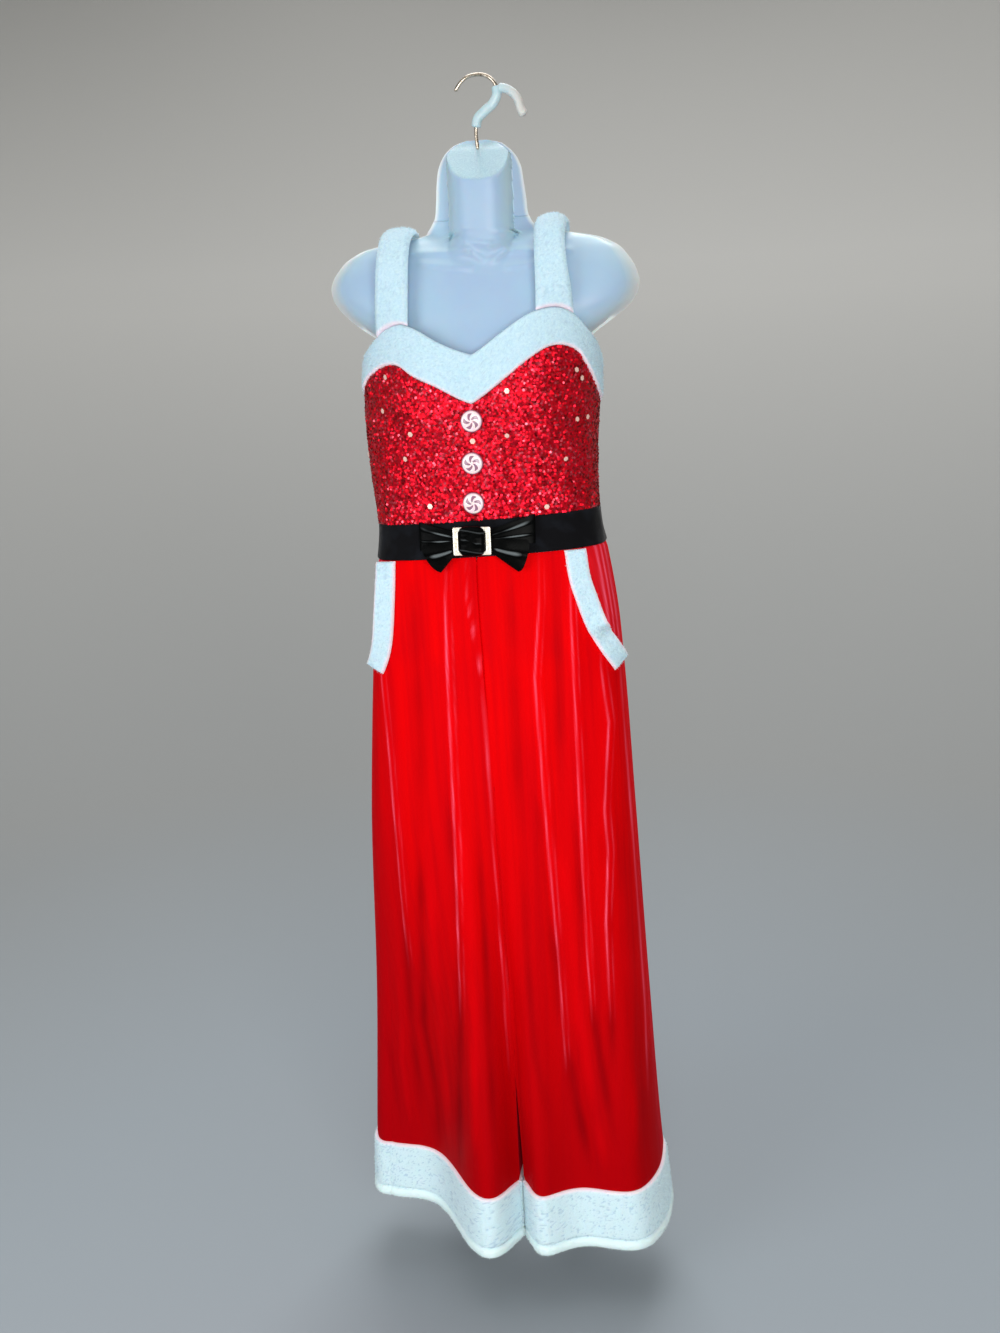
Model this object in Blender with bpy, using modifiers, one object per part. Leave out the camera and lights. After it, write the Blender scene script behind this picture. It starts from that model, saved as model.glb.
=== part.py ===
"""Santa suit on a hanging dress form: a wide-legged velvet jumpsuit with a sequin bodice and plush trims.

Metres, +Z up. The front faces -Y and the wearer's left side is +X. The origin is the seat of the
hanging hook, the spot inside its bend where a rail carries it. Every cloth panel is a wall made
from the points of one closed body surface, so neighbours share their seam points, a seam's gap
apart. What lies on a panel is made from that panel's points, moved out.
"""

import math

import bmesh
import bpy
import numpy as np

# ---------------------------------------------------------------- driving sizes
VELVET = 0.0020  # wall of the trousers
BELT_CLOTH = 0.0030
SEQUIN_CLOTH = 0.0024
PLUSH = 0.0055  # pile and backing of the white trims
STRAP_PLUSH = 0.0080  # the straps are folded double
SATIN = 0.0012
PLASTIC = 0.0028
SEAM = 0.0005  # between panels sewn edge to edge
LAY = 0.0008  # under a piece that lies on a faceted panel
TOUCH = 0.0004  # between hard pieces that rest on each other

BELT_TOP = -0.5800
BELT_BOTTOM = -0.6300
RISE_START = -0.8000  # the front seam turns back towards the crotch here
CROTCH = -0.9000
CUFF_TOP = -1.5850
HEM = -1.6800
BODY_STEP, BELT_STEP = 5.0, 6.0  # degrees round the body between a piece's columns

# Sections of the suit's inner face. z: height. right, middle, left: x of the two sides, as worn, and
# of the centre line. front, back: y of the centre front and back. right_y, left_y: y of the sides.
# right_square, left_square, back_square: 2 is an ellipse, more is boxier. lean: the section's rise
# towards the wearer's left, per metre of x.
SECTION_COLUMNS = (
    "z", "right", "middle", "left", "front", "back", "right_y", "left_y",
    "right_square", "left_square", "back_square", "lean",
)
SECTIONS = (
    (-0.300, -0.160, -0.004, 0.149, -0.084, 0.034, 0.000, 0.000, 2.3, 2.3, 4.5, 0.060),
    (-0.360, -0.169, -0.004, 0.154, -0.093, 0.037, 0.000, 0.000, 2.3, 2.3, 4.5, 0.060),
    (-0.420, -0.172, -0.005, 0.153, -0.098, 0.040, 0.000, 0.000, 2.4, 2.3, 4.5, 0.055),
    (-0.500, -0.168, -0.008, 0.148, -0.097, 0.043, 0.000, 0.000, 2.6, 2.2, 4.0, 0.050),
    (-0.600, -0.160, -0.010, 0.151, -0.093, 0.046, 0.000, 0.000, 3.0, 2.3, 3.6, 0.045),
    (-0.640, -0.162, -0.009, 0.159, -0.095, 0.050, 0.000, 0.000, 3.6, 2.5, 3.4, 0.040),
    (-0.720, -0.171, -0.007, 0.172, -0.099, 0.059, 0.000, 0.000, 4.0, 2.7, 3.2, 0.022),
    (-0.800, -0.179, -0.004, 0.179, -0.101, 0.070, 0.000, 0.000, 3.6, 2.7, 2.8, 0.000),
    (-1.000, -0.198, 0.000, 0.190, -0.104, 0.088, 0.010, 0.004, 3.0, 2.6, 2.5, 0.000),
    (-1.300, -0.217, 0.008, 0.205, -0.107, 0.106, 0.030, 0.014, 2.7, 2.6, 2.5, 0.000),
    (-1.585, -0.240, 0.015, 0.222, -0.118, 0.124, 0.060, 0.026, 2.8, 2.7, 2.6, 0.000),
    (-1.680, -0.246, 0.017, 0.231, -0.121, 0.130, 0.068, 0.030, 2.8, 2.8, 2.7, 0.000),
)

# The bodice's two cups: soft mounds on its front.
CUP_APART, CUP_HEIGHT, CUP_Z = 0.080, 0.016, -0.425
CUP_WIDE, CUP_TALL = 0.058, 0.070

# The plush band along the top of the bodice, by degrees of turn from the centre front, on the
# wearer's right and left. sewn: its seam with the bodice. top: its free upper edge.
NECKLINE_COLUMNS = ("turn", "sewn_right", "sewn_left", "top_right", "top_left")
NECKLINE = (
    (0, -0.4255, -0.4255, -0.3618, -0.3618),
    (13, -0.4000, -0.3987, -0.3420, -0.3360),
    (25, -0.3830, -0.3765, -0.3220, -0.3180),
    (35, -0.3665, -0.3633, -0.3125, -0.3120),
    (46, -0.3645, -0.3615, -0.3155, -0.3130),
    (56, -0.3710, -0.3700, -0.3260, -0.3230),
    (66, -0.3790, -0.3900, -0.3370, -0.3400),
    (78, -0.3910, -0.4150, -0.3480, -0.3570),
    (90, -0.4020, -0.4300, -0.3600, -0.3740),
    (105, -0.4200, -0.4400, -0.3780, -0.3880),
    (135, -0.4400, -0.4460, -0.3950, -0.3970),
    (180, -0.4480, -0.4480, -0.4000, -0.4000),
)

# The shoulder straps. word, side: as worn. front, back: the turns from the centre front, and from
# the centre back, between which an end is sewn on. x, wide: its centre and width on the shoulder.
# top: the height of its inner face there. crown: how much lower its edges are there.
STRAP_COLUMNS = ("word", "side", "front", "back", "x", "wide", "top", "crown")
STRAPS = (
    ("left", 1, (30, 55), (20, 35), 0.0960, 0.037, -0.1860, 0.008),
    ("right", -1, (30, 55), (20, 35), -0.1150, 0.041, -0.1935, 0.0044),
)
# A strap's inner face, by the share of its length: the y and z that it passes, and how much of the
# shoulder's rise and crown it has there.
STRAP_PATH_COLUMNS = ("along", "y", "z", "raised")
STRAP_PATH = (
    (0.00, -0.0750, -0.3130, 0.0),
    (0.12, -0.0640, -0.2750, 0.1),
    (0.26, -0.0460, -0.2300, 0.5),
    (0.35, -0.0240, -0.2060, 0.9),
    (0.42, 0.0060, -0.1965, 1.0),
    (0.49, 0.0290, -0.2005, 1.0),
    (0.56, 0.0385, -0.2240, 0.5),
    (0.75, 0.0390, -0.3000, 0.1),
    (1.00, 0.0370, -0.3990, 0.0),
)
STRAP_TOP = 4  # the row of its highest place
STRAP_HOLD = 0.30  # share of a strap's length at each end that turns to lie on the band
STRAP_ROWS = 16

# The largest folds of the trousers. Each is a ridge, or a trough where height is negative.
# face: 1 front, -1 back. at_waist, at_hem: where it runs, as a share of the half width from the
# centre line. starts, full: the heights where it begins and is at its full height.
FOLD_COLUMNS = ("face", "at_waist", "at_hem", "starts", "full", "wide", "height")
FOLDS = (
    (1, -0.62, -0.60, -1.000, -1.640, 0.104, -0.098),
    (1, -0.24, -0.23, -1.000, -1.640, 0.059, 0.052),
    (1, 0.12, 0.12, -1.000, -1.550, 0.026, 0.012),
    (1, 0.36, 0.45, -0.850, -1.550, 0.045, -0.022),
    (1, 0.80, 0.88, -0.800, -1.450, 0.032, 0.014),
    (-1, -0.60, -0.62, -0.850, -1.500, 0.034, -0.022),
    (-1, -0.30, -0.34, -0.800, -1.450, 0.028, 0.014),
    (-1, 0.30, 0.30, -0.800, -1.450, 0.030, 0.016),
    (-1, 0.58, 0.60, -0.900, -1.500, 0.034, -0.024),
)
FOLD_FADE = 0.65  # folds are whole from this share of the panel's depth, and nothing at the side seam
GROOVE_STARTS, GROOVE_DEPTH, GROOVE_WIDE = -0.820, 0.055, 0.024  # between the legs, at the hem
LEG_GAP_STARTS = -1.3500
LEG_GAP_HEM = 0.0038  # how much further from the middle plane a leg is at its hem
TURNED_IN = 0.035  # share of the inner wall that the front and back seams turn in, above the rise
INNER_COLUMNS = 4

# The pocket openings, and the inner edges of the plush trims that lie along them, as shares of the
# front panel from the side seam to the centre, by height, on the wearer's right and left.
POCKET_COLUMNS = ("z", "right", "left", "trim_right", "trim_left")
POCKET = (
    (-0.6300, 0.455, 0.414, 0.556, 0.537),
    (-0.6600, 0.455, 0.403, 0.575, 0.545),
    (-0.6950, 0.441, 0.380, 0.586, 0.532),
    (-0.7250, 0.403, 0.348, 0.586, 0.506),
    (-0.7450, 0.348, 0.294, 0.575, 0.474),
    (-0.7620, 0.255, 0.217, 0.556, 0.433),
    (-0.7750, 0.027, 0.027, 0.533, 0.395),
    (-0.8000, 0.000, 0.000, 0.470, 0.299),
)
TRIM_WIDE = 0.030
TRIM_ROWS, TRIM_COLUMNS = 12, 4
TRIM_FLARE = 0.10  # a trim lies as flat as the panel does this share nearer the centre
TRIM_END = {"right": -0.7950, "left": -0.7990}

LEG_HEIGHTS = (
    -0.630, -0.660, -0.695, -0.725, -0.745, -0.762, -0.775, -0.810, -0.860, -0.900, -1.010,
    -1.130, -1.250, -1.370, -1.480, -1.585,
)
LEG_OVER = 12  # columns from a leg's side seam to the middle plane
POCKET_OVER = 4  # columns across a pocket's side piece
LEG_SPREAD = 1.35  # 1 spreads those columns evenly by angle, and more spreads them evenly by length

# Buttons, buckle and bow.
BUTTON_HEIGHTS = (-0.4475, -0.5030, -0.5565)
BUTTON_WIDE, BUTTON_THICK, BUTTON_EDGE, BUTTON_SIDES = 0.0300, 0.0045, 0.0012, 24
BOW_X, BOW_Z = -0.0120, -0.6068
BUCKLE_WIDE, BUCKLE_TALL, BUCKLE_THICK = 0.0520, 0.0380, 0.0030
BUCKLE_SIDE_BAR, BUCKLE_LONG_BAR, BUCKLE_ROUND = 0.0072, 0.0055, 0.0020
BOW_DEPTH = 0.0115  # from the belt to the buckle's back
# The loops: their reach from the bow's centre, by side. From a loop's root to its outer end, its half
# height and its middle's height both grow. Its layers lie about LOOP_DEPTH in front of the belt.
BOW_ROOT = BUCKLE_WIDE / 2 - BUCKLE_SIDE_BAR
LOOP_REACH = {1: 0.0820, -1: 0.0730}
LOOP_HALF, LOOP_HALF_GROWS = 0.0095, 0.0100
LOOP_MIDDLE, LOOP_MIDDLE_GROWS = 0.0020, 0.0070
LOOP_DEPTH, LOOP_LAYER, LOOP_LAYER_GROWS = 0.0052, 0.0012, 0.0024
LOOP_PLEAT, LOOP_PLEATS = 0.0007, 2.5
LOOP_ROWS, LOOP_COLUMNS = 10, 6
TAIL_ROOT_X, TAIL_ROOT_Z, TAIL_ROOT_HALF = 0.0225, -0.0078, 0.0088
TAIL_DEPTH, TAIL_CROWN = 0.0089, 0.0020  # from the belt to a tongue, and its swell
TAIL_ROUND = 0.09  # share by which its corners are drawn in
TAIL_ROWS, TAIL_COLUMNS = 8, 7
# A tongue's far edge: x and z of its bottom, middle and top from the bow's centre, by side.
TAIL_FAR = {
    1: ((0.0640, -0.0495), (0.0715, -0.0285), (0.0765, -0.0060)),
    -1: ((0.0470, -0.0440), (0.0635, -0.0230), (0.0705, -0.0030)),
}
WINDOW_WIDE = BUCKLE_WIDE / 2 - BUCKLE_SIDE_BAR - TOUCH
WINDOW_TALL = BUCKLE_TALL / 2 - BUCKLE_LONG_BAR - TOUCH
KNOT_OVER = BOW_DEPTH + BUCKLE_THICK + TOUCH
# The knot's rings: distance in front of the belt, and half width and height as shares of the window.
KNOT = (
    (3 * TOUCH, 0.80, 0.75),
    (0.0030, 0.99, 0.95),
    (KNOT_OVER - 0.0002, 0.99, 0.97),
    (KNOT_OVER, 1.00, 1.42),
    (KNOT_OVER + 0.0025, 0.96, 1.38),
    (KNOT_OVER + 0.0050, 0.76, 1.08),
    (KNOT_OVER + 0.0060, 0.40, 0.60),
)
KNOT_SIDES, KNOT_SQUARE = 24, 4.0

COLOURS = {
    "velvet_red": ((0.78, 0.005, 0.012), 0.70, 0.0),
    "sequin_red": ((0.62, 0.008, 0.022), 0.35, 0.2),
    "plush_white": ((0.80, 0.90, 0.93), 0.95, 0.0),
    "velvet_black": ((0.010, 0.010, 0.013), 0.80, 0.0),
    "satin_black": ((0.012, 0.012, 0.015), 0.35, 0.0),
    "buckle_metal": ((0.93, 0.88, 0.74), 0.28, 1.0),
    "button_white": ((0.90, 0.72, 0.76), 0.25, 0.0),
    "form_white": ((0.62, 0.70, 0.82), 0.45, 0.0),
    "hook_chrome": ((0.80, 0.79, 0.77), 0.15, 1.0),
    "hook_coating": ((0.80, 0.88, 0.90), 0.45, 0.0),
}

# The dress form: a moulded shell, open behind. right, left: its outline, by height. neck, chest: how
# far the neck column and the chest stand forward of its rim. square: as for the suit's sections.
FORM_RIM_Y = 0.0200
FORM_RIM_WIDE = 0.0060
FORM_CAP_TILT = 1.11  # how far forward the neck's slanted cap goes, per metre that it drops
FORM_TURN = 0.12  # how far the form's front is turned to the wearer's left, per metre forward
NECK_HALF, NECK_SQUARE = 0.0440, 2.8
FORM_BLEND = 0.016  # the depth over which the neck runs out into the chest
FORM_COLUMNS = ("z", "right", "left", "neck", "chest", "square")
FORM = (
    (-0.0765, -0.020, 0.008, 0.065, 0.000, 2.4),
    (-0.0800, -0.033, 0.024, 0.065, 0.000, 2.4),
    (-0.0870, -0.045, 0.036, 0.065, 0.000, 2.4),
    (-0.0970, -0.054, 0.046, 0.065, 0.000, 2.4),
    (-0.1100, -0.060, 0.053, 0.065, 0.000, 2.4),
    (-0.1320, -0.064, 0.057, 0.065, 0.000, 2.4),
    (-0.1560, -0.066, 0.060, 0.065, 0.000, 2.4),
    (-0.1780, -0.070, 0.063, 0.065, 0.000, 2.4),
    (-0.1920, -0.079, 0.072, 0.065, 0.004, 2.4),
    (-0.1972, -0.084, 0.078, 0.065, 0.008, 2.4),
    (-0.2020, -0.112, 0.113, 0.064, 0.014, 2.4),
    (-0.2095, -0.160, 0.152, 0.063, 0.025, 2.5),
    (-0.2200, -0.188, 0.178, 0.061, 0.037, 2.6),
    (-0.2380, -0.210, 0.197, 0.056, 0.052, 2.7),
    (-0.2600, -0.222, 0.209, 0.050, 0.064, 2.8),
    (-0.2780, -0.219, 0.211, 0.040, 0.072, 2.8),
    (-0.3000, -0.203, 0.199, 0.030, 0.080, 2.7),
    (-0.3220, -0.176, 0.171, 0.020, 0.086, 2.6),
    (-0.3400, -0.150, 0.146, 0.010, 0.092, 2.5),
    (-0.3700, -0.140, 0.134, 0.000, 0.099, 2.5),
    (-0.4300, -0.138, 0.130, 0.000, 0.104, 2.5),
    (-0.5200, -0.132, 0.122, 0.000, 0.100, 2.4),
    (-0.6000, -0.126, 0.118, 0.000, 0.097, 2.4),
    (-0.7000, -0.140, 0.132, 0.000, 0.100, 2.4),
    (-0.8000, -0.148, 0.142, 0.000, 0.100, 2.4),
)
FORM_ACROSS = 25  # columns across the form
FORM_EVEN = 0.75  # 1 spreads those columns evenly, and less gathers them at its middle

# The hook: x and z of its centre lines, all in the plane y = 0.
WIRE, SLEEVE, ARM = 0.0048, 0.0130, 0.0115
SLEEVE_BORE = 0.0060
WIRE_ROUTE = (
    (-0.0008, -0.0920), (-0.0018, -0.0640), (0.0008, -0.0530), (0.0107, -0.0440), (0.0222, -0.0350),
    (0.0280, -0.0240), (0.0275, -0.0135), (0.0215, -0.0045), (0.0120, 0.0010), (0.0000, 0.0024),
    (-0.0125, -0.0002), (-0.0215, -0.0070), (-0.0283, -0.0165),
)
SLEEVE_FROM, SLEEVE_TO = 1, 6  # the stretch of the wire's route inside the sleeve
WIRE_RINGS, SLEEVE_RINGS, ARM_RINGS = 32, 13, 12
ARM_ROUTE = (
    (0.0354, -0.0172), (0.0411, -0.0182), (0.0503, -0.0245), (0.0565, -0.0336), (0.0592, -0.0435),
    (0.0645, -0.0530),
)


# ---------------------------------------------------------------- tables and points
def table_value(rows, columns, wanted, at):
    """A column of a table at any place along its first column, on a smooth curve through the rows."""
    rows = np.array(rows, float)
    order = np.argsort(rows[:, 0])
    places = rows[order, 0]
    values = rows[order, columns.index(wanted)]
    slopes = np.gradient(values, places)
    at = np.clip(np.asarray(at, float), places[0], places[-1])
    k = np.clip(np.searchsorted(places, at) - 1, 0, len(places) - 2)
    step = places[k + 1] - places[k]
    t = (at - places[k]) / step
    return (
        values[k] * (1 + 2 * t) * (1 - t) ** 2
        + values[k + 1] * t * t * (3 - 2 * t)
        + slopes[k] * step * t * (1 - t) ** 2
        - slopes[k + 1] * step * t * t * (1 - t)
    )


def section(z):
    """The suit's section at each height, as a dict of its columns."""
    return {c: table_value(SECTIONS, SECTION_COLUMNS, c, z) for c in SECTION_COLUMNS[1:]}


def ease(t):
    """0 to 1 with no corner at either end."""
    t = np.clip(t, 0.0, 1.0)
    return t * t * (3 - 2 * t)


def unit(vectors):
    return vectors / np.linalg.norm(vectors, axis=-1, keepdims=True)


def smooth_route(points, count):
    """Evenly spread points on a smooth curve through a few."""
    points = np.array(points, float)
    steps = np.linalg.norm(np.diff(points, axis=0), axis=1)
    along = np.concatenate([[0], np.cumsum(steps)])
    rows = np.column_stack([along, points])
    names = ("along",) + tuple(range(points.shape[1]))
    at = np.linspace(0, along[-1], count)
    return np.stack([table_value(rows, names, n, at) for n in names[1:]], -1)


def facing(surface, u, v, step_u, step_v):
    """Unit normals of surface(u, v), pointing out of the body."""
    along_u = surface(u + step_u, v) - surface(u - step_u, v)
    along_v = surface(u, v + step_v) - surface(u, v - step_v)
    return unit(np.cross(along_u, along_v))


def grid_facing(grid):
    """Unit normals of a grid of points: its columns crossed with its rows."""
    return unit(np.cross(np.gradient(grid, axis=1), np.gradient(grid, axis=0)))


def draw_in(grid, gaps):
    """Moves a grid's borders in along the grid: its first row, last row, first and last column."""
    grid = grid.copy()
    for edge, inner, gap in ((0, 1, gaps[0]), (-1, -2, gaps[1])):
        if gap:
            grid[edge] += unit(grid[inner] - grid[edge]) * gap
    for edge, inner, gap in ((0, 1, gaps[2]), (-1, -2, gaps[3])):
        if gap:
            grid[:, edge] += unit(grid[:, inner] - grid[:, edge]) * gap
    return grid


# ---------------------------------------------------------------- objects
def material(slot):
    """The Principled material of a slot, made once."""
    if slot in bpy.data.materials:
        return bpy.data.materials[slot]
    colour, roughness, metallic = COLOURS[slot]
    made = bpy.data.materials.new(slot)
    made.use_nodes = True
    shader = made.node_tree.nodes["Principled BSDF"]
    shader.inputs["Base Color"].default_value = (*colour, 1.0)
    shader.inputs["Roughness"].default_value = roughness
    shader.inputs["Metallic"].default_value = metallic
    return made


def add_object(name, data, slot, collection):
    made = bpy.data.objects.new(name, data)
    made.data.materials.append(material(slot))
    collection.objects.link(made)
    return made


def mesh_object(name, points, faces, slot, collection):
    """An object from points and faces, with its faces turned outwards."""
    mesh = bpy.data.meshes.new(name)
    mesh.from_pydata([tuple(p) for p in np.asarray(points, float)], [], faces)
    work = bmesh.new()
    work.from_mesh(mesh)
    bmesh.ops.recalc_face_normals(work, faces=work.faces)
    work.to_mesh(mesh)
    work.free()
    mesh.shade_smooth()
    mesh.set_sharp_from_angle(angle=math.radians(40))
    return add_object(name, mesh, slot, collection)


def wall(name, inner, outer, slot, collection, ring=False):
    """A closed wall between two grids of points, rows by columns. A ring joins its last column to
    its first, and any other wall is closed at all four borders."""
    rows, columns = inner.shape[:2]
    index = np.arange(rows * columns).reshape(rows, columns)
    across = np.concatenate([index, index[:, :1]], axis=1) if ring else index
    skins = (across, across + rows * columns)
    faces = []
    for skin in skins:
        corners = (skin[:-1, :-1], skin[:-1, 1:], skin[1:, 1:], skin[1:, :-1])
        faces += np.stack(corners, -1).reshape(-1, 4).tolist()
    borders = [(skins[0][0], skins[1][0]), (skins[0][-1], skins[1][-1])]
    if not ring:
        borders += [(skins[0][:, 0], skins[1][:, 0]), (skins[0][:, -1], skins[1][:, -1])]
    for a, b in borders:
        faces += np.stack((a[:-1], a[1:], b[1:], b[:-1]), -1).tolist()
    points = np.concatenate([inner.reshape(-1, 3), outer.reshape(-1, 3)])
    return mesh_object(name, points, faces, slot, collection)


def ring_loft(name, rings, slot, collection):
    """A closed solid through rings of points, with a flat face at each end."""
    rings = np.asarray(rings, float)
    count, sides = rings.shape[:2]
    index = np.arange(count * sides).reshape(count, sides)
    across = np.concatenate([index, index[:, :1]], axis=1)
    corners = (across[:-1, :-1], across[:-1, 1:], across[1:, 1:], across[1:, :-1])
    faces = np.stack(corners, -1).reshape(-1, 4).tolist()
    faces += [index[0].tolist(), index[-1].tolist()]
    return mesh_object(name, rings.reshape(-1, 3), faces, slot, collection)


def rod(name, route, wide, slot, collection, capped=True, resolution=2):
    """A round rod along a route in the plane y = 0."""
    curve = bpy.data.curves.new(name, "CURVE")
    curve.dimensions = "3D"
    curve.bevel_depth = wide / 2
    curve.bevel_resolution = resolution
    curve.use_fill_caps = capped
    spline = curve.splines.new("POLY")
    spline.points.add(len(route) - 1)
    for point, (x, z) in zip(spline.points, route):
        point.co = (x, 0.0, z, 1.0)
    return add_object(name, curve, slot, collection)


# ---------------------------------------------------------------- the suit's body surface
def body(angle, z):
    """The suit's inner face at an angle in degrees round it and a height. 0 is the wearer's left
    side, 90 the centre front and 180 the right side. The section is a superellipse with its own
    width on each side and depth before and behind, plus the two cups."""
    row = section(z)
    turn = np.radians(angle)
    c, s = np.cos(turn), np.sin(turn)
    on_left = c >= 0
    power = 2 / np.where(
        s >= 0, np.where(on_left, row["left_square"], row["right_square"]), row["back_square"]
    )
    half = np.where(on_left, row["left"] - row["middle"], row["middle"] - row["right"])
    x = row["middle"] + half * np.sign(c) * np.abs(c) ** power
    side_y = np.where(on_left, row["left_y"], row["right_y"])
    y = side_y + (np.where(s >= 0, row["front"], row["back"]) - side_y) * np.abs(s) ** power
    for cup_x in (-CUP_APART, CUP_APART):
        mound = np.exp(-(((x - cup_x) / CUP_WIDE) ** 2) - ((z - CUP_Z) / CUP_TALL) ** 2)
        y = y - CUP_HEIGHT * mound * np.clip(s, 0, 1)
    return np.stack(np.broadcast_arrays(x, y, z + row["lean"] * x), -1)


def body_out(angle, z):
    return facing(body, angle, z, -0.5, 0.001)


def body_wall(name, angles, low, high, rows, thick, slot, collection, gaps, ring=False):
    """A wall on the body between two heights, each a value or one value for each angle."""
    share = np.linspace(0, 1, rows)[:, None]
    angle = np.broadcast_to(angles, (rows, len(angles)))
    z = low + (high - low) * share + 0 * angle
    inner = body(angle, z)
    outer = inner + body_out(angle, z) * thick
    return wall(name, draw_in(inner, gaps), draw_in(outer, gaps), slot, collection, ring)


def front_spot(x, z, lift):
    """A point in front of the suit at a given x and height before its lean, and the way out there."""
    row = section(z)
    half = np.where(x >= row["middle"], row["left"] - row["middle"], row["middle"] - row["right"])
    square = np.where(x >= row["middle"], row["left_square"], row["right_square"])
    reach = np.clip((x - row["middle"]) / half, -0.999, 0.999)
    angle = np.degrees(np.arccos(np.sign(reach) * np.abs(reach) ** (square / 2)))
    out = body_out(angle, z)
    return body(angle, z) + out * np.asarray(lift)[..., None], out


# ---------------------------------------------------------------- bodice
def neckline(wanted, angles):
    """An edge of the plush band, "sewn" or "top", at any angle round the body."""
    turn = np.abs((90 - np.asarray(angles, float) + 180) % 360 - 180)
    on_left = np.cos(np.radians(angles)) >= 0
    left = table_value(NECKLINE, NECKLINE_COLUMNS, wanted + "_left", turn)
    right = table_value(NECKLINE, NECKLINE_COLUMNS, wanted + "_right", turn)
    return np.where(on_left, left, right)


def make_bodice(collection):
    """Sequin front and back, joined at the side seams, and the plush band above them."""
    half = SEAM / 2
    for name, first, rows in (("bodice_front", 0, 6), ("bodice_back", 180, 3)):
        angles = np.arange(first, first + 180.1, BODY_STEP)
        body_wall(
            name, angles, BELT_TOP, neckline("sewn", angles), rows,
            SEQUIN_CLOTH, "sequin_red", collection, (half,) * 4,
        )
    for name, first in (("neckline_band_front", 0), ("neckline_band_back", 180)):
        angles = np.arange(first, first + 180.1, BODY_STEP)
        body_wall(
            name, angles, neckline("sewn", angles), neckline("top", angles), 3,
            PLUSH, "plush_white", collection, (half, half, half, half),
        )


def make_straps(collection):
    """Each strap runs from the band's front edge over the form's shoulder to its back edge."""
    along = np.linspace(0, 1, STRAP_ROWS)[:, None]
    y, z, raised = (
        table_value(STRAP_PATH, STRAP_PATH_COLUMNS, c, along) for c in ("y", "z", "raised")
    )
    at_top = STRAP_PATH[STRAP_TOP][0]
    to_top, from_top = ease(along / at_top), ease((along - at_top) / (1 - at_top))
    hold_front = (1 - along / STRAP_HOLD).clip(0) ** 2
    hold_back = (1 - (1 - along) / STRAP_HOLD).clip(0) ** 2
    for row in STRAPS:
        strap = dict(zip(STRAP_COLUMNS, row))
        side = strap["side"]
        front = 90 - side * np.arange(strap["front"][0], strap["front"][1] + 0.1, BODY_STEP)
        share = np.linspace(0, 1, len(front))
        back = 270 + side * (strap["back"][0] + np.ptp(strap["back"]) * share)
        tops = [neckline("top", angles) for angles in (front, back)]
        start, end = body(front, tops[0]), body(back, tops[1])
        over_x = strap["x"] + side * strap["wide"] * (share - 0.5)
        x = start[:, 0] + (over_x - start[:, 0]) * to_top + (end[:, 0] - over_x) * from_top
        rise = strap["top"] - STRAP_PATH[STRAP_TOP][2] - strap["crown"] * (2 * share - 1) ** 2
        y_here = y + (start[:, 1] - y[0]) * hold_front + (end[:, 1] - y[-1]) * hold_back
        z_here = z + (start[:, 2] - z[0]) * hold_front + (end[:, 2] - z[-1]) * hold_back
        inner = np.stack(np.broadcast_arrays(x, y_here, z_here + rise * raised), -1)
        own, front_out, back_out = (
            grid_facing(inner) * side, body_out(front, tops[0]), body_out(back, tops[1])
        )
        out = own * (1 - hold_front - hold_back)[..., None]
        out = unit(out + front_out * hold_front[..., None] + back_out * hold_back[..., None])
        outer = inner + out * STRAP_PLUSH
        gaps = (SEAM, SEAM, 0, 0)
        wall(
            f"strap_{strap['word']}", draw_in(inner, gaps), draw_in(outer, gaps),
            "plush_white", collection,
        )


def make_belt(collection):
    angles = np.arange(0, 360, BELT_STEP)
    half = SEAM / 2
    body_wall(
        "belt", angles, BELT_BOTTOM, BELT_TOP, 2,
        BELT_CLOTH, "velvet_black", collection, (half, half, 0, 0), ring=True,
    )


# ---------------------------------------------------------------- trousers
def inner_offset(z):
    """How far a leg's inner face stays from the middle plane: a wall's thickness and half a seam's
    gap, and a growing gap down to the hem."""
    return SEAM / 2 + VELVET + LEG_GAP_HEM * ease((LEG_GAP_STARTS - z) / (LEG_GAP_STARTS - CUFF_TOP))


def fold_offset(face, x, z, row):
    """The folds' height out of the cloth at a place on the front or back."""
    total = np.zeros(np.broadcast(x, z).shape)
    for fold in FOLDS:
        f = dict(zip(FOLD_COLUMNS, fold))
        if f["face"] != face:
            continue
        down = np.clip((BELT_BOTTOM - z) / (BELT_BOTTOM - HEM), 0, 1)
        share = f["at_waist"] + (f["at_hem"] - f["at_waist"]) * down
        half = np.where(share >= 0, row["left"] - row["middle"], row["middle"] - row["right"])
        line = row["middle"] + share * half
        grown = ease((f["starts"] - z) / (f["starts"] - f["full"]))
        total = total + f["height"] * grown * np.exp(-(((x - line) / f["wide"]) ** 2))
    return total


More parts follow.
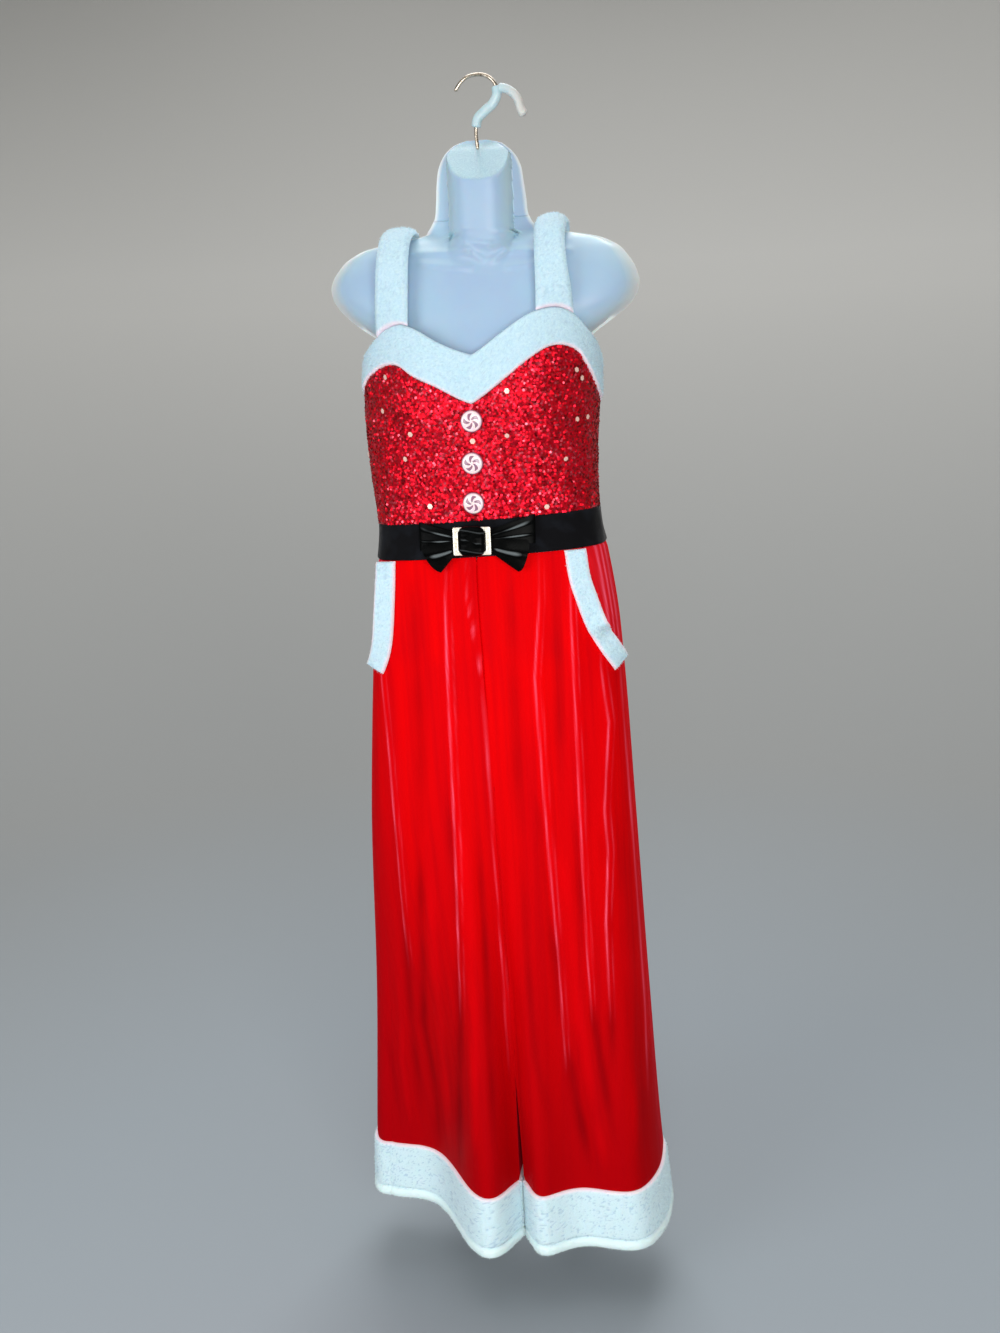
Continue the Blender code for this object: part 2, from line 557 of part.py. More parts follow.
def leg(side, face, a, z):
    """A leg's inner face. a runs from the side seam at 0, over the front or back, to the middle
    plane at 1, and from there along the inner wall to the inseam at 2."""
    row = section(z)
    from_side = np.clip(a, 0, 1) ** LEG_SPREAD
    from_centre = (1 - np.clip(a, 0, 1)) ** LEG_SPREAD
    over = 90 * face * from_side / (from_side + from_centre)
    base = body(np.where(side > 0, over, 180 - over), z)
    middle = row["middle"]
    x = middle + side * np.maximum(side * (base[..., 0] - middle), inner_offset(z))
    half = np.where(side > 0, row["left"] - middle, middle - row["right"])
    from_middle = np.abs(x - middle)
    side_y = np.where(side > 0, row["left_y"], row["right_y"])
    edge_y = np.where(face > 0, row["front"], row["back"])
    fade = np.clip((base[..., 1] - side_y) / (edge_y - side_y) / FOLD_FADE, 0, 1)
    depth = GROOVE_DEPTH * ease((GROOVE_STARTS - z) / (GROOVE_STARTS - HEM))
    groove = depth * np.exp(-((from_middle / GROOVE_WIDE) ** 2))
    y = base[..., 1] - face * (fold_offset(face, x, z, row) * fade - groove)
    inseam_y = (row["front"] + row["back"]) / 2
    y = y + (inseam_y - y) * np.clip(a - 1, 0, 1)
    return np.stack(np.broadcast_arrays(x, y, base[..., 2]), -1)


def leg_out(side, face, a, z):
    def surface(u, v):
        return leg(side, face, u, v)

    return facing(surface, a, z, -0.01 * side * face, 0.002)


def leg_end(z):
    """Where a panel's inner edge lies: the turned-in centre seam, the rise curve, the inseam."""
    return 1 + TURNED_IN + (1 - TURNED_IN) * ease((RISE_START - z) / (RISE_START - CROTCH))


def leg_wall(name, side, face, a, z, thick, slot, collection, gaps, lift=0.0):
    """A wall on a leg, from the grid of its places a and z."""
    out = leg_out(side, face, a, z)
    inner = leg(side, face, a, z) + out * lift
    outer = inner + out * thick
    return wall(name, draw_in(inner, gaps), draw_in(outer, gaps), slot, collection)


def leg_places(start, heights):
    """The grid of a leg panel: columns from its outer edge to the middle plane, then the inner wall
    as far as that height's leg_end."""
    z = np.asarray(heights, float)[:, None]
    over = np.linspace(0, 1, LEG_OVER)
    start = np.broadcast_to(start, (len(heights),))[:, None]
    inside = np.linspace(0, 1, INNER_COLUMNS + 1)[1:]
    a = np.concatenate([start + (1 - start) * over, 1 + (leg_end(z) - 1) * inside], axis=1)
    return a, z + 0 * a


def pocket_share(word, z):
    share = table_value(POCKET, POCKET_COLUMNS, word, z)
    return np.where(z < pocket_end(word) - 1e-6, 0.0, share)


def pocket_end(word):
    """The lowest height at which a pocket's opening is still off the side seam."""
    column = POCKET_COLUMNS.index(word)
    return min(row[0] for row in POCKET if row[column] > 0)


def make_trousers(collection):
    """Four leg panels, the pocket sides with their trims, and the cuffs. Rows run upwards."""
    half = SEAM / 2
    heights = np.array(LEG_HEIGHTS[::-1])
    for side, word in ((1, "left"), (-1, "right")):
        a, z = leg_places(pocket_share(word, heights), heights)
        leg_wall(
            f"leg_front_{word}", side, 1, a, z, VELVET, "velvet_red", collection, (half,) * 4
        )
        a, z = leg_places(0.0, heights)
        leg_wall(
            f"leg_back_{word}", side, -1, a, z, VELVET, "velvet_red", collection, (half,) * 4
        )
        upper = heights[heights >= pocket_end(word) - 1e-6]
        a = pocket_share(word, upper)[:, None] * np.linspace(0, 1, POCKET_OVER)
        z = upper[:, None] + 0 * a
        leg_wall(
            f"pocket_side_{word}", side, 1, a, z, VELVET, "velvet_red", collection, (half,) * 4
        )
        make_pocket_trim(f"pocket_trim_{word}", side, word, collection)
        make_cuff(f"cuff_{word}", side, collection)


def make_pocket_trim(name, side, word, collection):
    """A plush strip of even width. Its inner edge is sewn to the front panel, and the strip stands
    out straight from there, past the pocket's opening."""
    z = np.linspace(BELT_BOTTOM - 2 * SEAM, TRIM_END[word], TRIM_ROWS)
    a = table_value(POCKET, POCKET_COLUMNS, "trim_" + word, z)
    edge = leg(side, 1, a, z)
    out = leg_out(side, 1, a + TRIM_FLARE, z)
    outward = unit(np.cross(out, unit(np.gradient(edge, axis=0)))) * side
    along_belt = outward.copy()
    along_belt[:, 2] = section(z)["lean"] * along_belt[:, 0]
    level = ease((BELT_BOTTOM - z) / TRIM_WIDE)[:, None]
    outward = unit(along_belt + (outward - along_belt) * level)
    start = edge + leg_out(side, 1, a, z) * (VELVET + LAY)
    across = np.linspace(0, TRIM_WIDE, TRIM_COLUMNS)[:, None]
    inner = start[:, None] + outward[:, None] * across
    outer = inner + out[:, None] * PLUSH
    return wall(name, inner, outer, "plush_white", collection)


def make_cuff(name, side, collection):
    """The plush band round a leg, one strip joined at the inseam."""
    z = np.linspace(HEM, CUFF_TOP, 3)
    over = np.linspace(0, 1, LEG_OVER)
    inside = 1 + np.linspace(0, 1, INNER_COLUMNS + 1)[1:]
    a = np.concatenate([over, inside]) + 0 * z[:, None]
    z = z[:, None] + 0 * a
    skins = []
    for thick in (0.0, PLUSH):
        front, back = (
            leg(side, face, a, z) + leg_out(side, face, a, z) * thick for face in (1, -1)
        )
        ring = np.concatenate([front[:, :-1], back[:, :0:-1]], axis=1)
        skins.append(draw_in(ring, (0, SEAM / 2, 0, 0)))
    return wall(name, skins[0], skins[1], "plush_white", collection, ring=True)


# ---------------------------------------------------------------- buttons, bow and buckle
def seat(x, z, lift, wide):
    """Where a flat round piece rests in front of the suit: its centre's place and its way out,
    clear of the cloth all over the piece."""
    spot, out = front_spot(x, z, lift)
    turn = np.linspace(0, 2 * np.pi, 17)
    rim, _ = front_spot(x + wide / 2 * np.cos(turn), z + wide / 2 * np.sin(turn), lift + 0 * turn)
    return spot + out * max(0.0, ((rim - spot) @ out).max()), out


def make_buttons(collection):
    for number, z in enumerate(BUTTON_HEIGHTS, 1):
        lift = SEQUIN_CLOTH + TOUCH + BUTTON_THICK / 2
        spot, out = seat(section(z)["middle"], z, lift, BUTTON_WIDE)
        bpy.ops.mesh.primitive_cylinder_add(
            vertices=BUTTON_SIDES, radius=BUTTON_WIDE / 2, depth=BUTTON_THICK, location=spot,
        )
        button = bpy.context.object
        button.name = f"button_{number}"
        nod = math.atan2(out[2], math.hypot(out[0], out[1]))
        button.rotation_euler = (math.pi / 2 - nod, 0, math.atan2(out[0], -out[1]))
        bevel = button.modifiers.new("edge", "BEVEL")
        bevel.width = BUTTON_EDGE
        bevel.segments = 1
        bevel.limit_method = "ANGLE"
        button.data.materials.append(material("button_white"))
        button.data.shade_smooth()
        button.data.set_sharp_from_angle(angle=math.radians(40))
        for other in list(button.users_collection):
            other.objects.unlink(button)
        collection.objects.link(button)


def bow_place(x, z, depth):
    """A point of the bow from its x and z, measured from the bow's centre, and its distance in
    front of the belt."""
    spot, _ = front_spot(BOW_X + x, BOW_Z + z - section(BOW_Z)["lean"] * BOW_X, BELT_CLOTH + depth)
    return spot


def make_bow(collection):
    """Two loops and two tails held by a puffed knot, which fills the buckle."""
    for side, word in ((1, "left"), (-1, "right")):
        make_bow_loop(f"bow_loop_{word}", side, collection)
        make_bow_tail(f"bow_tail_{word}", side, collection)
    make_knot(collection)
    make_buckle(collection)


def make_bow_loop(name, side, collection):
    """A ribbon that leaves the knot, turns back at its outer end and returns behind itself."""
    turn = np.linspace(0, np.pi, LOOP_ROWS)[:, None]
    across = np.linspace(-1, 1, LOOP_COLUMNS)
    away = np.sin(turn) ** 0.8
    x = BOW_ROOT + (LOOP_REACH[side] - BOW_ROOT) * away
    z = LOOP_MIDDLE + LOOP_MIDDLE_GROWS * away + (LOOP_HALF + LOOP_HALF_GROWS * away) * across
    pleat = LOOP_PLEAT * np.cos(across * LOOP_PLEATS * np.pi) * (1 - away)
    depth = LOOP_DEPTH + (LOOP_LAYER + LOOP_LAYER_GROWS * away) * np.cos(turn) + pleat
    ribbon = bow_place(side * x + 0 * across, z, depth)
    thick = grid_facing(ribbon) * SATIN / 2
    return wall(name, ribbon - thick, ribbon + thick, "satin_black", collection)


def make_bow_tail(name, side, collection):
    """A tongue that comes out of the knot over the loop and widens to its slanted far edge, whose
    three places a parabola joins."""
    along = np.linspace(0, 1, TAIL_ROWS)[:, None]
    across = np.linspace(-1, 1, TAIL_COLUMNS)
    bottom, centre, top = (np.array(place)[:, None] for place in TAIL_FAR[side])
    far = centre + (top - bottom) * across / 2 + (top + bottom - 2 * centre) * across**2 / 2
    reached = along * (1 - TAIL_ROUND * np.abs(across) ** 5)
    x = TAIL_ROOT_X + (far[0] - TAIL_ROOT_X) * reached
    root_z = TAIL_ROOT_Z + TAIL_ROOT_HALF * across
    z = root_z + (far[1] - root_z) * reached
    depth = TAIL_DEPTH + TAIL_CROWN * ((1 - across**2) * ease(2 * along) + 0.3 * along)
    tongue = bow_place(side * x, z, depth)
    thick = grid_facing(tongue) * SATIN / 2
    return wall(name, tongue - thick, tongue + thick, "satin_black", collection)


def make_knot(collection):
    """The knot fills the buckle's window and swells over its upper and lower bars."""
    turn = np.linspace(0, 2 * np.pi, KNOT_SIDES, endpoint=False)
    across, upward = (
        np.sign(f(turn)) * np.abs(f(turn)) ** (2 / KNOT_SQUARE) for f in (np.cos, np.sin)
    )
    centre, _ = front_spot(BOW_X, BOW_Z, BELT_CLOTH)
    rings = [
        centre + np.stack([WINDOW_WIDE * wide * across, 0 * turn - depth, WINDOW_TALL * tall * upward], -1)
        for depth, wide, tall in KNOT
    ]
    return ring_loft("bow_knot", rings, "satin_black", collection)


def rounded_frame(wide, tall, radius):
    """The corner points of a rounded rectangle about the origin."""
    points = []
    for corner in range(4):
        sign_x, sign_y = ((1, 1), (-1, 1), (-1, -1), (1, -1))[corner]
        for step in range(5):
            turn = math.pi / 2 * (corner + step / 4)
            points.append((
                sign_x * (wide / 2 - radius) + radius * math.cos(turn),
                sign_y * (tall / 2 - radius) + radius * math.sin(turn),
            ))
    return points


def make_buckle(collection):
    """A flat rounded frame, tilted with the belt."""
    outline = bpy.data.curves.new("buckle", "CURVE")
    outline.dimensions = "2D"
    outline.fill_mode = "BOTH"
    outline.extrude = BUCKLE_THICK / 2
    hole = (BUCKLE_WIDE - 2 * BUCKLE_SIDE_BAR, BUCKLE_TALL - 2 * BUCKLE_LONG_BAR)
    for wide, tall in ((BUCKLE_WIDE, BUCKLE_TALL), hole):
        spline = outline.splines.new("POLY")
        corners = rounded_frame(wide, tall, BUCKLE_ROUND)
        spline.points.add(len(corners) - 1)
        for point, (x, y) in zip(spline.points, corners):
            point.co = (x, y, 0.0, 1.0)
        spline.use_cyclic_u = True
    buckle = add_object("buckle", outline, "buckle_metal", collection)
    spot, _ = front_spot(BOW_X, BOW_Z, BELT_CLOTH)
    buckle.location = (spot[0], spot[1] - BOW_DEPTH - BUCKLE_THICK / 2, spot[2])
    buckle.rotation_euler = (math.pi / 2, 0, 0)


# ---------------------------------------------------------------- dress form and hook
def form_depth(x, z):
    """How far the form stands forward of its rim at any x and z: the larger of the chest and the
    neck column, which the slanted cap cuts off, joined softly."""
    row = {c: table_value(FORM, FORM_COLUMNS, c, z) for c in FORM_COLUMNS[1:]}
    middle = (row["left"] + row["right"]) / 2
    half = (row["left"] - row["right"]) / 2 - FORM_RIM_WIDE
    reach = np.clip(np.abs((x - middle) / half), 0, 1)
    chest = row["chest"] * (1 - reach ** row["square"]) ** (1 / row["square"])
    reach = np.clip(np.abs((x - middle) / np.minimum(NECK_HALF, half)), 0, 1)
    neck = row["neck"] * (1 - reach**NECK_SQUARE) ** (1 / NECK_SQUARE)
    neck = np.minimum(neck, FORM_CAP_TILT * (FORM[0][0] - z))
    mix = np.clip(0.5 + 0.5 * (neck - chest) / FORM_BLEND, 0, 1)
    return chest + (neck - chest) * mix + FORM_BLEND * mix * (1 - mix) * (row["chest"] > 0)


def make_form(collection):
    """The moulded shell, as a wall between its front and the same surface moved back."""
    z = np.array([row[0] for row in FORM])[::-1, None]
    right, left = (table_value(FORM, FORM_COLUMNS, c, z) for c in ("right", "left"))
    share = np.linspace(-1, 1, FORM_ACROSS)
    spread = 0.5 + 0.5 * share * (FORM_EVEN + (1 - FORM_EVEN) * share**2)
    x = right + (left - right) * spread
    depth = form_depth(x, z)
    front = np.stack(np.broadcast_arrays(x + FORM_TURN * depth, FORM_RIM_Y - depth, z), -1)
    out = grid_facing(front)
    return wall("form_shell", front - out * PLASTIC, front, "form_white", collection)


def make_hook(collection):
    """The wire and its bend, the moulded sleeve round its shank, and the sleeve's second arm."""
    route = smooth_route(WIRE_ROUTE, WIRE_RINGS)
    rod("hook_wire", route, WIRE, "hook_chrome", collection)
    stretch = smooth_route(WIRE_ROUTE[SLEEVE_FROM:SLEEVE_TO + 1], SLEEVE_RINGS)
    sleeve = rod("hook_sleeve", stretch, SLEEVE, "hook_coating", collection, False)
    bore = sleeve.modifiers.new("bore", "SOLIDIFY")
    bore.thickness = (SLEEVE - SLEEVE_BORE) / 2
    bore.offset = -1
    rod("hook_arm", smooth_route(ARM_ROUTE, ARM_RINGS), ARM, "hook_coating", collection)


# ---------------------------------------------------------------- the build
def main():
    for old in list(bpy.data.objects):
        bpy.data.objects.remove(old)
    suit = bpy.data.collections.new("santa_suit")
    bpy.context.scene.collection.children.link(suit)
    make_form(suit)
    make_hook(suit)
    make_bodice(suit)
    make_straps(suit)
    make_belt(suit)
    make_trousers(suit)
    make_buttons(suit)
    make_bow(suit)


main()
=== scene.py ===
"""A sleeveless santa suit, one piece from neckline to hem, on a hanging dress form."""

import math

import bpy
import numpy as np
from mathutils import Matrix


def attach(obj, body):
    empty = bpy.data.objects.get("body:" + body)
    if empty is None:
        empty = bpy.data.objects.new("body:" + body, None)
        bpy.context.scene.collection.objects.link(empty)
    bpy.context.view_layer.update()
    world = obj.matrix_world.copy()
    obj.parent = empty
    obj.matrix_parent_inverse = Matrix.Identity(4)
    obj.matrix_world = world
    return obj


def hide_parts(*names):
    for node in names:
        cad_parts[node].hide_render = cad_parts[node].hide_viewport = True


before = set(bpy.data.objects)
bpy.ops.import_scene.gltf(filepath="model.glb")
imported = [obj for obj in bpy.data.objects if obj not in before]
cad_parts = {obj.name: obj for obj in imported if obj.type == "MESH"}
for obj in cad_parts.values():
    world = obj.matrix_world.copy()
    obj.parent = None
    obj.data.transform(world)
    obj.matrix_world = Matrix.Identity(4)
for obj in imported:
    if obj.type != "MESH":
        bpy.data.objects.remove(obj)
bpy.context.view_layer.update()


# ================================================================ the dress form
# A limbless hanging form, moulded from one sheet of frosted bluish plastic. It is open behind, with
# a flat flange as its outline, and the neck ends in a slanted oval cap that carries the hook.
def table_value(rows, columns, wanted, at):
    """A column of a table at any place along its first column, on a smooth curve through the rows:
    between two rows, the cubic with their values and the table's slopes there."""
    rows = np.array(rows, float)
    order = np.argsort(rows[:, 0])
    places = rows[order, 0]
    values = rows[order, columns.index(wanted)]
    slopes = np.gradient(values, places)
    at = np.clip(np.asarray(at, float), places[0], places[-1])
    k = np.clip(np.searchsorted(places, at) - 1, 0, len(places) - 2)
    step = places[k + 1] - places[k]
    t = (at - places[k]) / step
    return (
        values[k] * (1 + 2 * t) * (1 - t) ** 2
        + values[k + 1] * t * t * (3 - 2 * t)
        + slopes[k] * step * t * (1 - t) ** 2
        - slopes[k + 1] * step * t * t * (1 - t)
    )


def ease(t):
    """0 to 1 with no corner at either end: three times t squared less twice t cubed."""
    t = np.clip(t, 0.0, 1.0)
    return t * t * (3 - 2 * t)


def hump(distance, wide):
    """1 at no distance, falling off as a bell of that width."""
    return np.exp(-((distance / wide) ** 2))


def unit(vectors):
    """Vectors divided by their lengths."""
    return vectors / np.linalg.norm(vectors, axis=-1, keepdims=True)


def grid_of(x, y, z):
    """A grid of points from their coordinates, which spread over the grid where they are alike."""
    return np.stack(np.broadcast_arrays(x, y, z), -1)


def run_along(points, axis):
    """The distance along each line of points, from nought at its first."""
    long = np.linalg.norm(np.diff(points, axis=axis), axis=-1)
    return np.insert(np.cumsum(long, axis=axis), 0, 0, axis=axis)


def grid_facing(grid):
    """Unit normals of a grid of points: its columns' direction crossed with its rows'."""
    return unit(np.cross(np.gradient(grid, axis=1), np.gradient(grid, axis=0)))


def placed(name, data):
    """A new object in the scene."""
    made = bpy.data.objects.new(name, data)
    bpy.context.scene.collection.objects.link(made)
    return made


def piece(name, points, faces, material, replaces=(), uv=None, marks=None, sharp=50):
    """A mesh from an array of points and a list of face arrays. uv is a place on the flat cloth for
    each point, in metres, and marks are named values for each point that its material reads."""
    mesh = bpy.data.meshes.new(name)
    corners = np.concatenate([f.ravel() for f in faces])
    sizes = np.concatenate([np.full(len(f), f.shape[1]) for f in faces])
    mesh.vertices.add(len(points))
    mesh.vertices.foreach_set("co", np.ascontiguousarray(points, np.float32).ravel())
    mesh.loops.add(len(corners))
    mesh.loops.foreach_set("vertex_index", corners.astype(np.int32))
    mesh.polygons.add(len(sizes))
    starts = np.concatenate([[0], np.cumsum(sizes)[:-1]])
    mesh.polygons.foreach_set("loop_start", starts.astype(np.int32))
    mesh.update(calc_edges=True)
    if uv is not None:
        layer = mesh.uv_layers.new(name="cloth")
        layer.data.foreach_set("uv", uv[corners].astype(np.float32).ravel())
    for mark, values in (marks or {}).items():
        layer = mesh.attributes.new(mark, "FLOAT", "POINT")
        layer.data.foreach_set("value", np.asarray(values, np.float32).ravel())
    mesh.shade_smooth()
    if sharp:
        mesh.set_sharp_from_angle(angle=math.radians(sharp))
    mesh.materials.append(material)
    made = placed(name, mesh)
    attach(made, "root")
    if replaces:
        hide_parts(*replaces)
    return made


def grid_faces(index):
    """The four-sided faces between the rows and columns of a grid of point numbers."""
    corners = [index[:-1, :-1], index[:-1, 1:], index[1:, 1:], index[1:, :-1]]
    return np.stack(corners, -1).reshape(-1, 4)


def ring_index(rows, columns, first=0):
    """Point numbers of a grid whose rows are rings: the first column comes again after the last."""
    index = first + np.arange(rows * columns).reshape(rows, columns)
    return np.concatenate([index, index[:, :1]], axis=1)


def flat_places(grid):
    """Each point's place on the flat cloth: its distance along its row, and along its column."""
    return np.stack([run_along(grid, 1), run_along(grid, 0)], -1)


def shell(name, inner, outer, material, slot, replaces=(), marks=None, ring=False, flat=None):
    """A closed thin wall between two grids of points, rows by columns: two skins, and a strip along
    each open border. A ring's last column joins its first."""
    rows, columns = outer.shape[:2]
    far = rows * columns
    loop = ring_index(rows, columns) if ring else np.arange(far).reshape(rows, columns)
    skin = grid_faces(loop)
    edges = [loop[0][::-1], loop[-1]]
    if not ring:
        edges += [loop[:, 0], loop[:, -1][::-1]]
    faces = [skin, skin[:, ::-1] + far]
    faces += [np.stack([e[:-1], e[1:], e[1:] + far, e[:-1] + far], -1) for e in edges]
    points = np.concatenate([outer.reshape(-1, 3), inner.reshape(-1, 3)])
    a, b, c = (points[skin[:, k]] for k in range(3))
    out = (outer - inner).reshape(-1, 3)[skin[:, 0]]
    if (np.cross(b - a, c - a) * out).sum() < 0:
        faces = [f[:, ::-1] for f in faces]
    uv = np.tile((flat_places(outer) if flat is None else flat).reshape(-1, 2), (2, 1))
    both = {
        m: np.tile(np.broadcast_to(v, (rows, columns)).ravel(), 2) for m, v in (marks or {}).items()
    }
    return piece(name, points, faces, material, replaces, uv, both)


def finish(name, colour, roughness, **constants):
    """A Principled material. constants are the shader's own sockets, with _ for a space."""
    made = bpy.data.materials.new(name)
    made.use_nodes = True
    shader = made.node_tree.nodes["Principled BSDF"]
    shader.inputs["Base Color"].default_value = (*colour, 1)
    shader.inputs["Roughness"].default_value = roughness
    for socket, value in constants.items():
        value = (*value, 1) if socket.endswith("Tint") else value
        shader.inputs[socket.replace("_", " ")].default_value = value
    return made


def add(material, kind, inputs=None, **settings):
    """One more node in a material: its settings, and its inputs as constants or other outputs."""
    tree = material.node_tree
    made = tree.nodes.new("ShaderNode" + kind)
    for key, value in settings.items():
        setattr(made, key, value)
    for key, value in (inputs or {}).items():
        if isinstance(value, bpy.types.NodeSocket):
            tree.links.new(value, made.inputs[key])
        else:
            made.inputs[key].default_value = value
    return made


def mark(material, name):
    """A piece's named value, for its material."""
    return add(material, "Attribute", attribute_name=name).outputs["Fac"]


def object_place(material):
    """A point's place in the object, in metres."""
    return add(material, "TexCoord").outputs["Object"]


def speckle(material, place, scale, detail=2.0, roughness=0.5):
    """Noise from 0 to 1 at a place, with that many cells a metre."""
    made = add(
        material, "TexNoise",
        {"Vector": place, "Scale": scale, "Detail": detail, "Roughness": roughness},
    )
    return made.outputs["Fac"]


def steps(material, value, low, high, to_low=0.0, to_high=1.0):
    """A value stretched so that low becomes to_low and high to_high, and kept in between."""
    made = add(
        material, "MapRange",
        {"Value": value, "From Min": low, "From Max": high, "To Min": to_low, "To Max": to_high},
    )
    return made.outputs["Result"]


def mix(material, share, one, other):
    """A colour from one to the other, by a share."""
    one, other = ((*c, 1) if isinstance(c, tuple) else c for c in (one, other))
    return add(material, "MixRGB", {"Fac": share, "Color1": one, "Color2": other}).outputs["Color"]


def use(material, **values):
    """Feeds the shader's Base Color, Roughness or Normal."""
    shader = material.node_tree.nodes["Principled BSDF"]
    for socket, value in values.items():
        material.node_tree.links.new(value, shader.inputs[socket.replace("_", " ")])


def uneven_gloss(material, noise, least, most):
    """The shader's roughness, between two values by a noise."""
    use(material, Roughness=steps(material, noise, 0.3, 0.7, least, most))


def rough_surface(material, height, strength, depth):
    """A bump of that depth, in metres, fed to the shader."""
    made = add(material, "Bump", {"Height": height, "Strength": strength, "Distance": depth})
    use(material, Normal=made.outputs["Normal"])


FORM_RIM_Y = 0.0200
FORM_FLANGE = 0.0060
FORM_PLASTIC = 0.0028
FORM_CAP_TILT = 1.11
FORM_TURN = 0.12
NECK_HALF, NECK_SQUARE = 0.0440, 2.8
FORM_BLEND = 0.016
FORM_COLUMNS = ("z", "right", "left", "neck", "chest", "square")
FORM = (
    (-0.0765, -0.020, 0.008, 0.065, 0.000, 2.4),
    (-0.0800, -0.033, 0.024, 0.065, 0.000, 2.4),
    (-0.0870, -0.045, 0.036, 0.065, 0.000, 2.4),
    (-0.0970, -0.054, 0.046, 0.065, 0.000, 2.4),
    (-0.1100, -0.060, 0.053, 0.065, 0.000, 2.4),
    (-0.1320, -0.064, 0.057, 0.065, 0.000, 2.4),
    (-0.1560, -0.066, 0.060, 0.065, 0.000, 2.4),
    (-0.1780, -0.070, 0.063, 0.065, 0.000, 2.4),
    (-0.1920, -0.079, 0.072, 0.065, 0.004, 2.4),
    (-0.1972, -0.084, 0.078, 0.065, 0.008, 2.4),
    (-0.2020, -0.112, 0.113, 0.064, 0.014, 2.4),
    (-0.2095, -0.160, 0.152, 0.063, 0.025, 2.5),
    (-0.2200, -0.188, 0.178, 0.061, 0.037, 2.6),
    (-0.2380, -0.210, 0.197, 0.056, 0.052, 2.7),
    (-0.2600, -0.222, 0.209, 0.050, 0.064, 2.8),
    (-0.2780, -0.219, 0.211, 0.040, 0.072, 2.8),
    (-0.3000, -0.203, 0.199, 0.030, 0.080, 2.7),
    (-0.3220, -0.176, 0.171, 0.020, 0.086, 2.6),
    (-0.3400, -0.150, 0.146, 0.010, 0.092, 2.5),
    (-0.3700, -0.140, 0.134, 0.000, 0.099, 2.5),
    (-0.4300, -0.138, 0.130, 0.000, 0.104, 2.5),
    (-0.5200, -0.132, 0.122, 0.000, 0.100, 2.4),
    (-0.6000, -0.126, 0.118, 0.000, 0.097, 2.4),
    (-0.7000, -0.140, 0.132, 0.000, 0.100, 2.4),
    (-0.8000, -0.148, 0.142, 0.000, 0.100, 2.4),
)
# The moulded collarbones: soft ridges in the form's front, each from one x and z to another, with
# its height and the width of its bell.
COLLARBONES = (
    (-0.100, -0.2215, -0.020, -0.2240, 0.0040, 0.0050),
    (-0.020, -0.2240, -0.002, -0.2370, 0.0038, 0.0045),
    (-0.085, -0.2370, -0.018, -0.2480, 0.0026, 0.0050),
    (0.115, -0.2290, 0.032, -0.2260, 0.0040, 0.0050),
    (0.032, -0.2260, 0.014, -0.2385, 0.0038, 0.0045),
    (0.100, -0.2440, 0.030, -0.2490, 0.0026, 0.0050),
    (-0.024, -0.2130, 0.010, -0.2190, 0.0030, 0.0040),
    (0.010, -0.2190, 0.042, -0.2150, 0.0030, 0.0040),
)


def form_depth(x, z):
    """How far the form stands forward of its rim: the larger of the chest, a superellipse across
    the form, and the neck column, which the slanted cap cuts off, joined softly."""
    row = {c: table_value(FORM, FORM_COLUMNS, c, z) for c in FORM_COLUMNS[1:]}
    middle = (row["left"] + row["right"]) / 2
    half = (row["left"] - row["right"]) / 2 - FORM_FLANGE
    reach = np.clip(np.abs((x - middle) / half), 0, 1)
    chest = row["chest"] * (1 - reach ** row["square"]) ** (1 / row["square"])
    reach = np.clip(np.abs((x - middle) / np.minimum(NECK_HALF, half)), 0, 1)
    neck = row["neck"] * (1 - reach**NECK_SQUARE) ** (1 / NECK_SQUARE)
    neck = np.minimum(neck, FORM_CAP_TILT * (FORM[0][0] - z))
    share = np.clip(0.5 + 0.5 * (neck - chest) / FORM_BLEND, 0, 1)
    return chest + (neck - chest) * share + FORM_BLEND * share * (1 - share) * (row["chest"] > 0)


def collarbone_height(x, z):
    """The sum of the ridges: each a bell across its line, fading past its two ends."""
    total = np.zeros(np.broadcast(x, z).shape)
    for from_x, from_z, to_x, to_z, height, wide in COLLARBONES:
        run = np.array([to_x - from_x, to_z - from_z])
        long = np.hypot(*run)
        along = ((x - from_x) * run[0] + (z - from_z) * run[1]) / long
        aside = ((x - from_x) * run[1] - (z - from_z) * run[0]) / long
        past = np.maximum(np.maximum(-along, along - long), 0)
        total = total + height * hump(np.hypot(aside, past), wide)
    return total


form_z = np.concatenate([
    np.linspace(-0.800, -0.350, 26)[:-1], np.linspace(-0.350, -0.180, 74)[:-1],
    np.linspace(-0.180, -0.0765, 40),
])[:, None]
form_across = np.linspace(-1, 1, 91)
form_right, form_left = (table_value(FORM, FORM_COLUMNS, c, form_z) for c in ("right", "left"))
form_x = form_right + (form_left - form_right) * (
    0.5 + 0.5 * form_across * (0.75 + 0.25 * form_across**2)
)
form_out = form_depth(form_x, form_z)
form_relief = collarbone_height(form_x, form_z) * ease(form_out / 0.02)
form_front = grid_of(
    form_x + FORM_TURN * form_out, FORM_RIM_Y - form_out - form_relief, form_z
)
form_facing = grid_facing(form_front)
# How far the surface turns from the view: the form's steep sides get a painted highlight.
form_steep_highlight = 1 - np.abs(form_facing[..., 1])
# The outermost columns, the flange, for a painted highlight along the rim.
form_rim_highlight = ease(1 - (1 - np.abs(form_across)) / 0.07)
form_cap = ease((form_facing[..., 2] - 0.35) / 0.25) * (form_z > -0.150) * (form_out > 0.004)

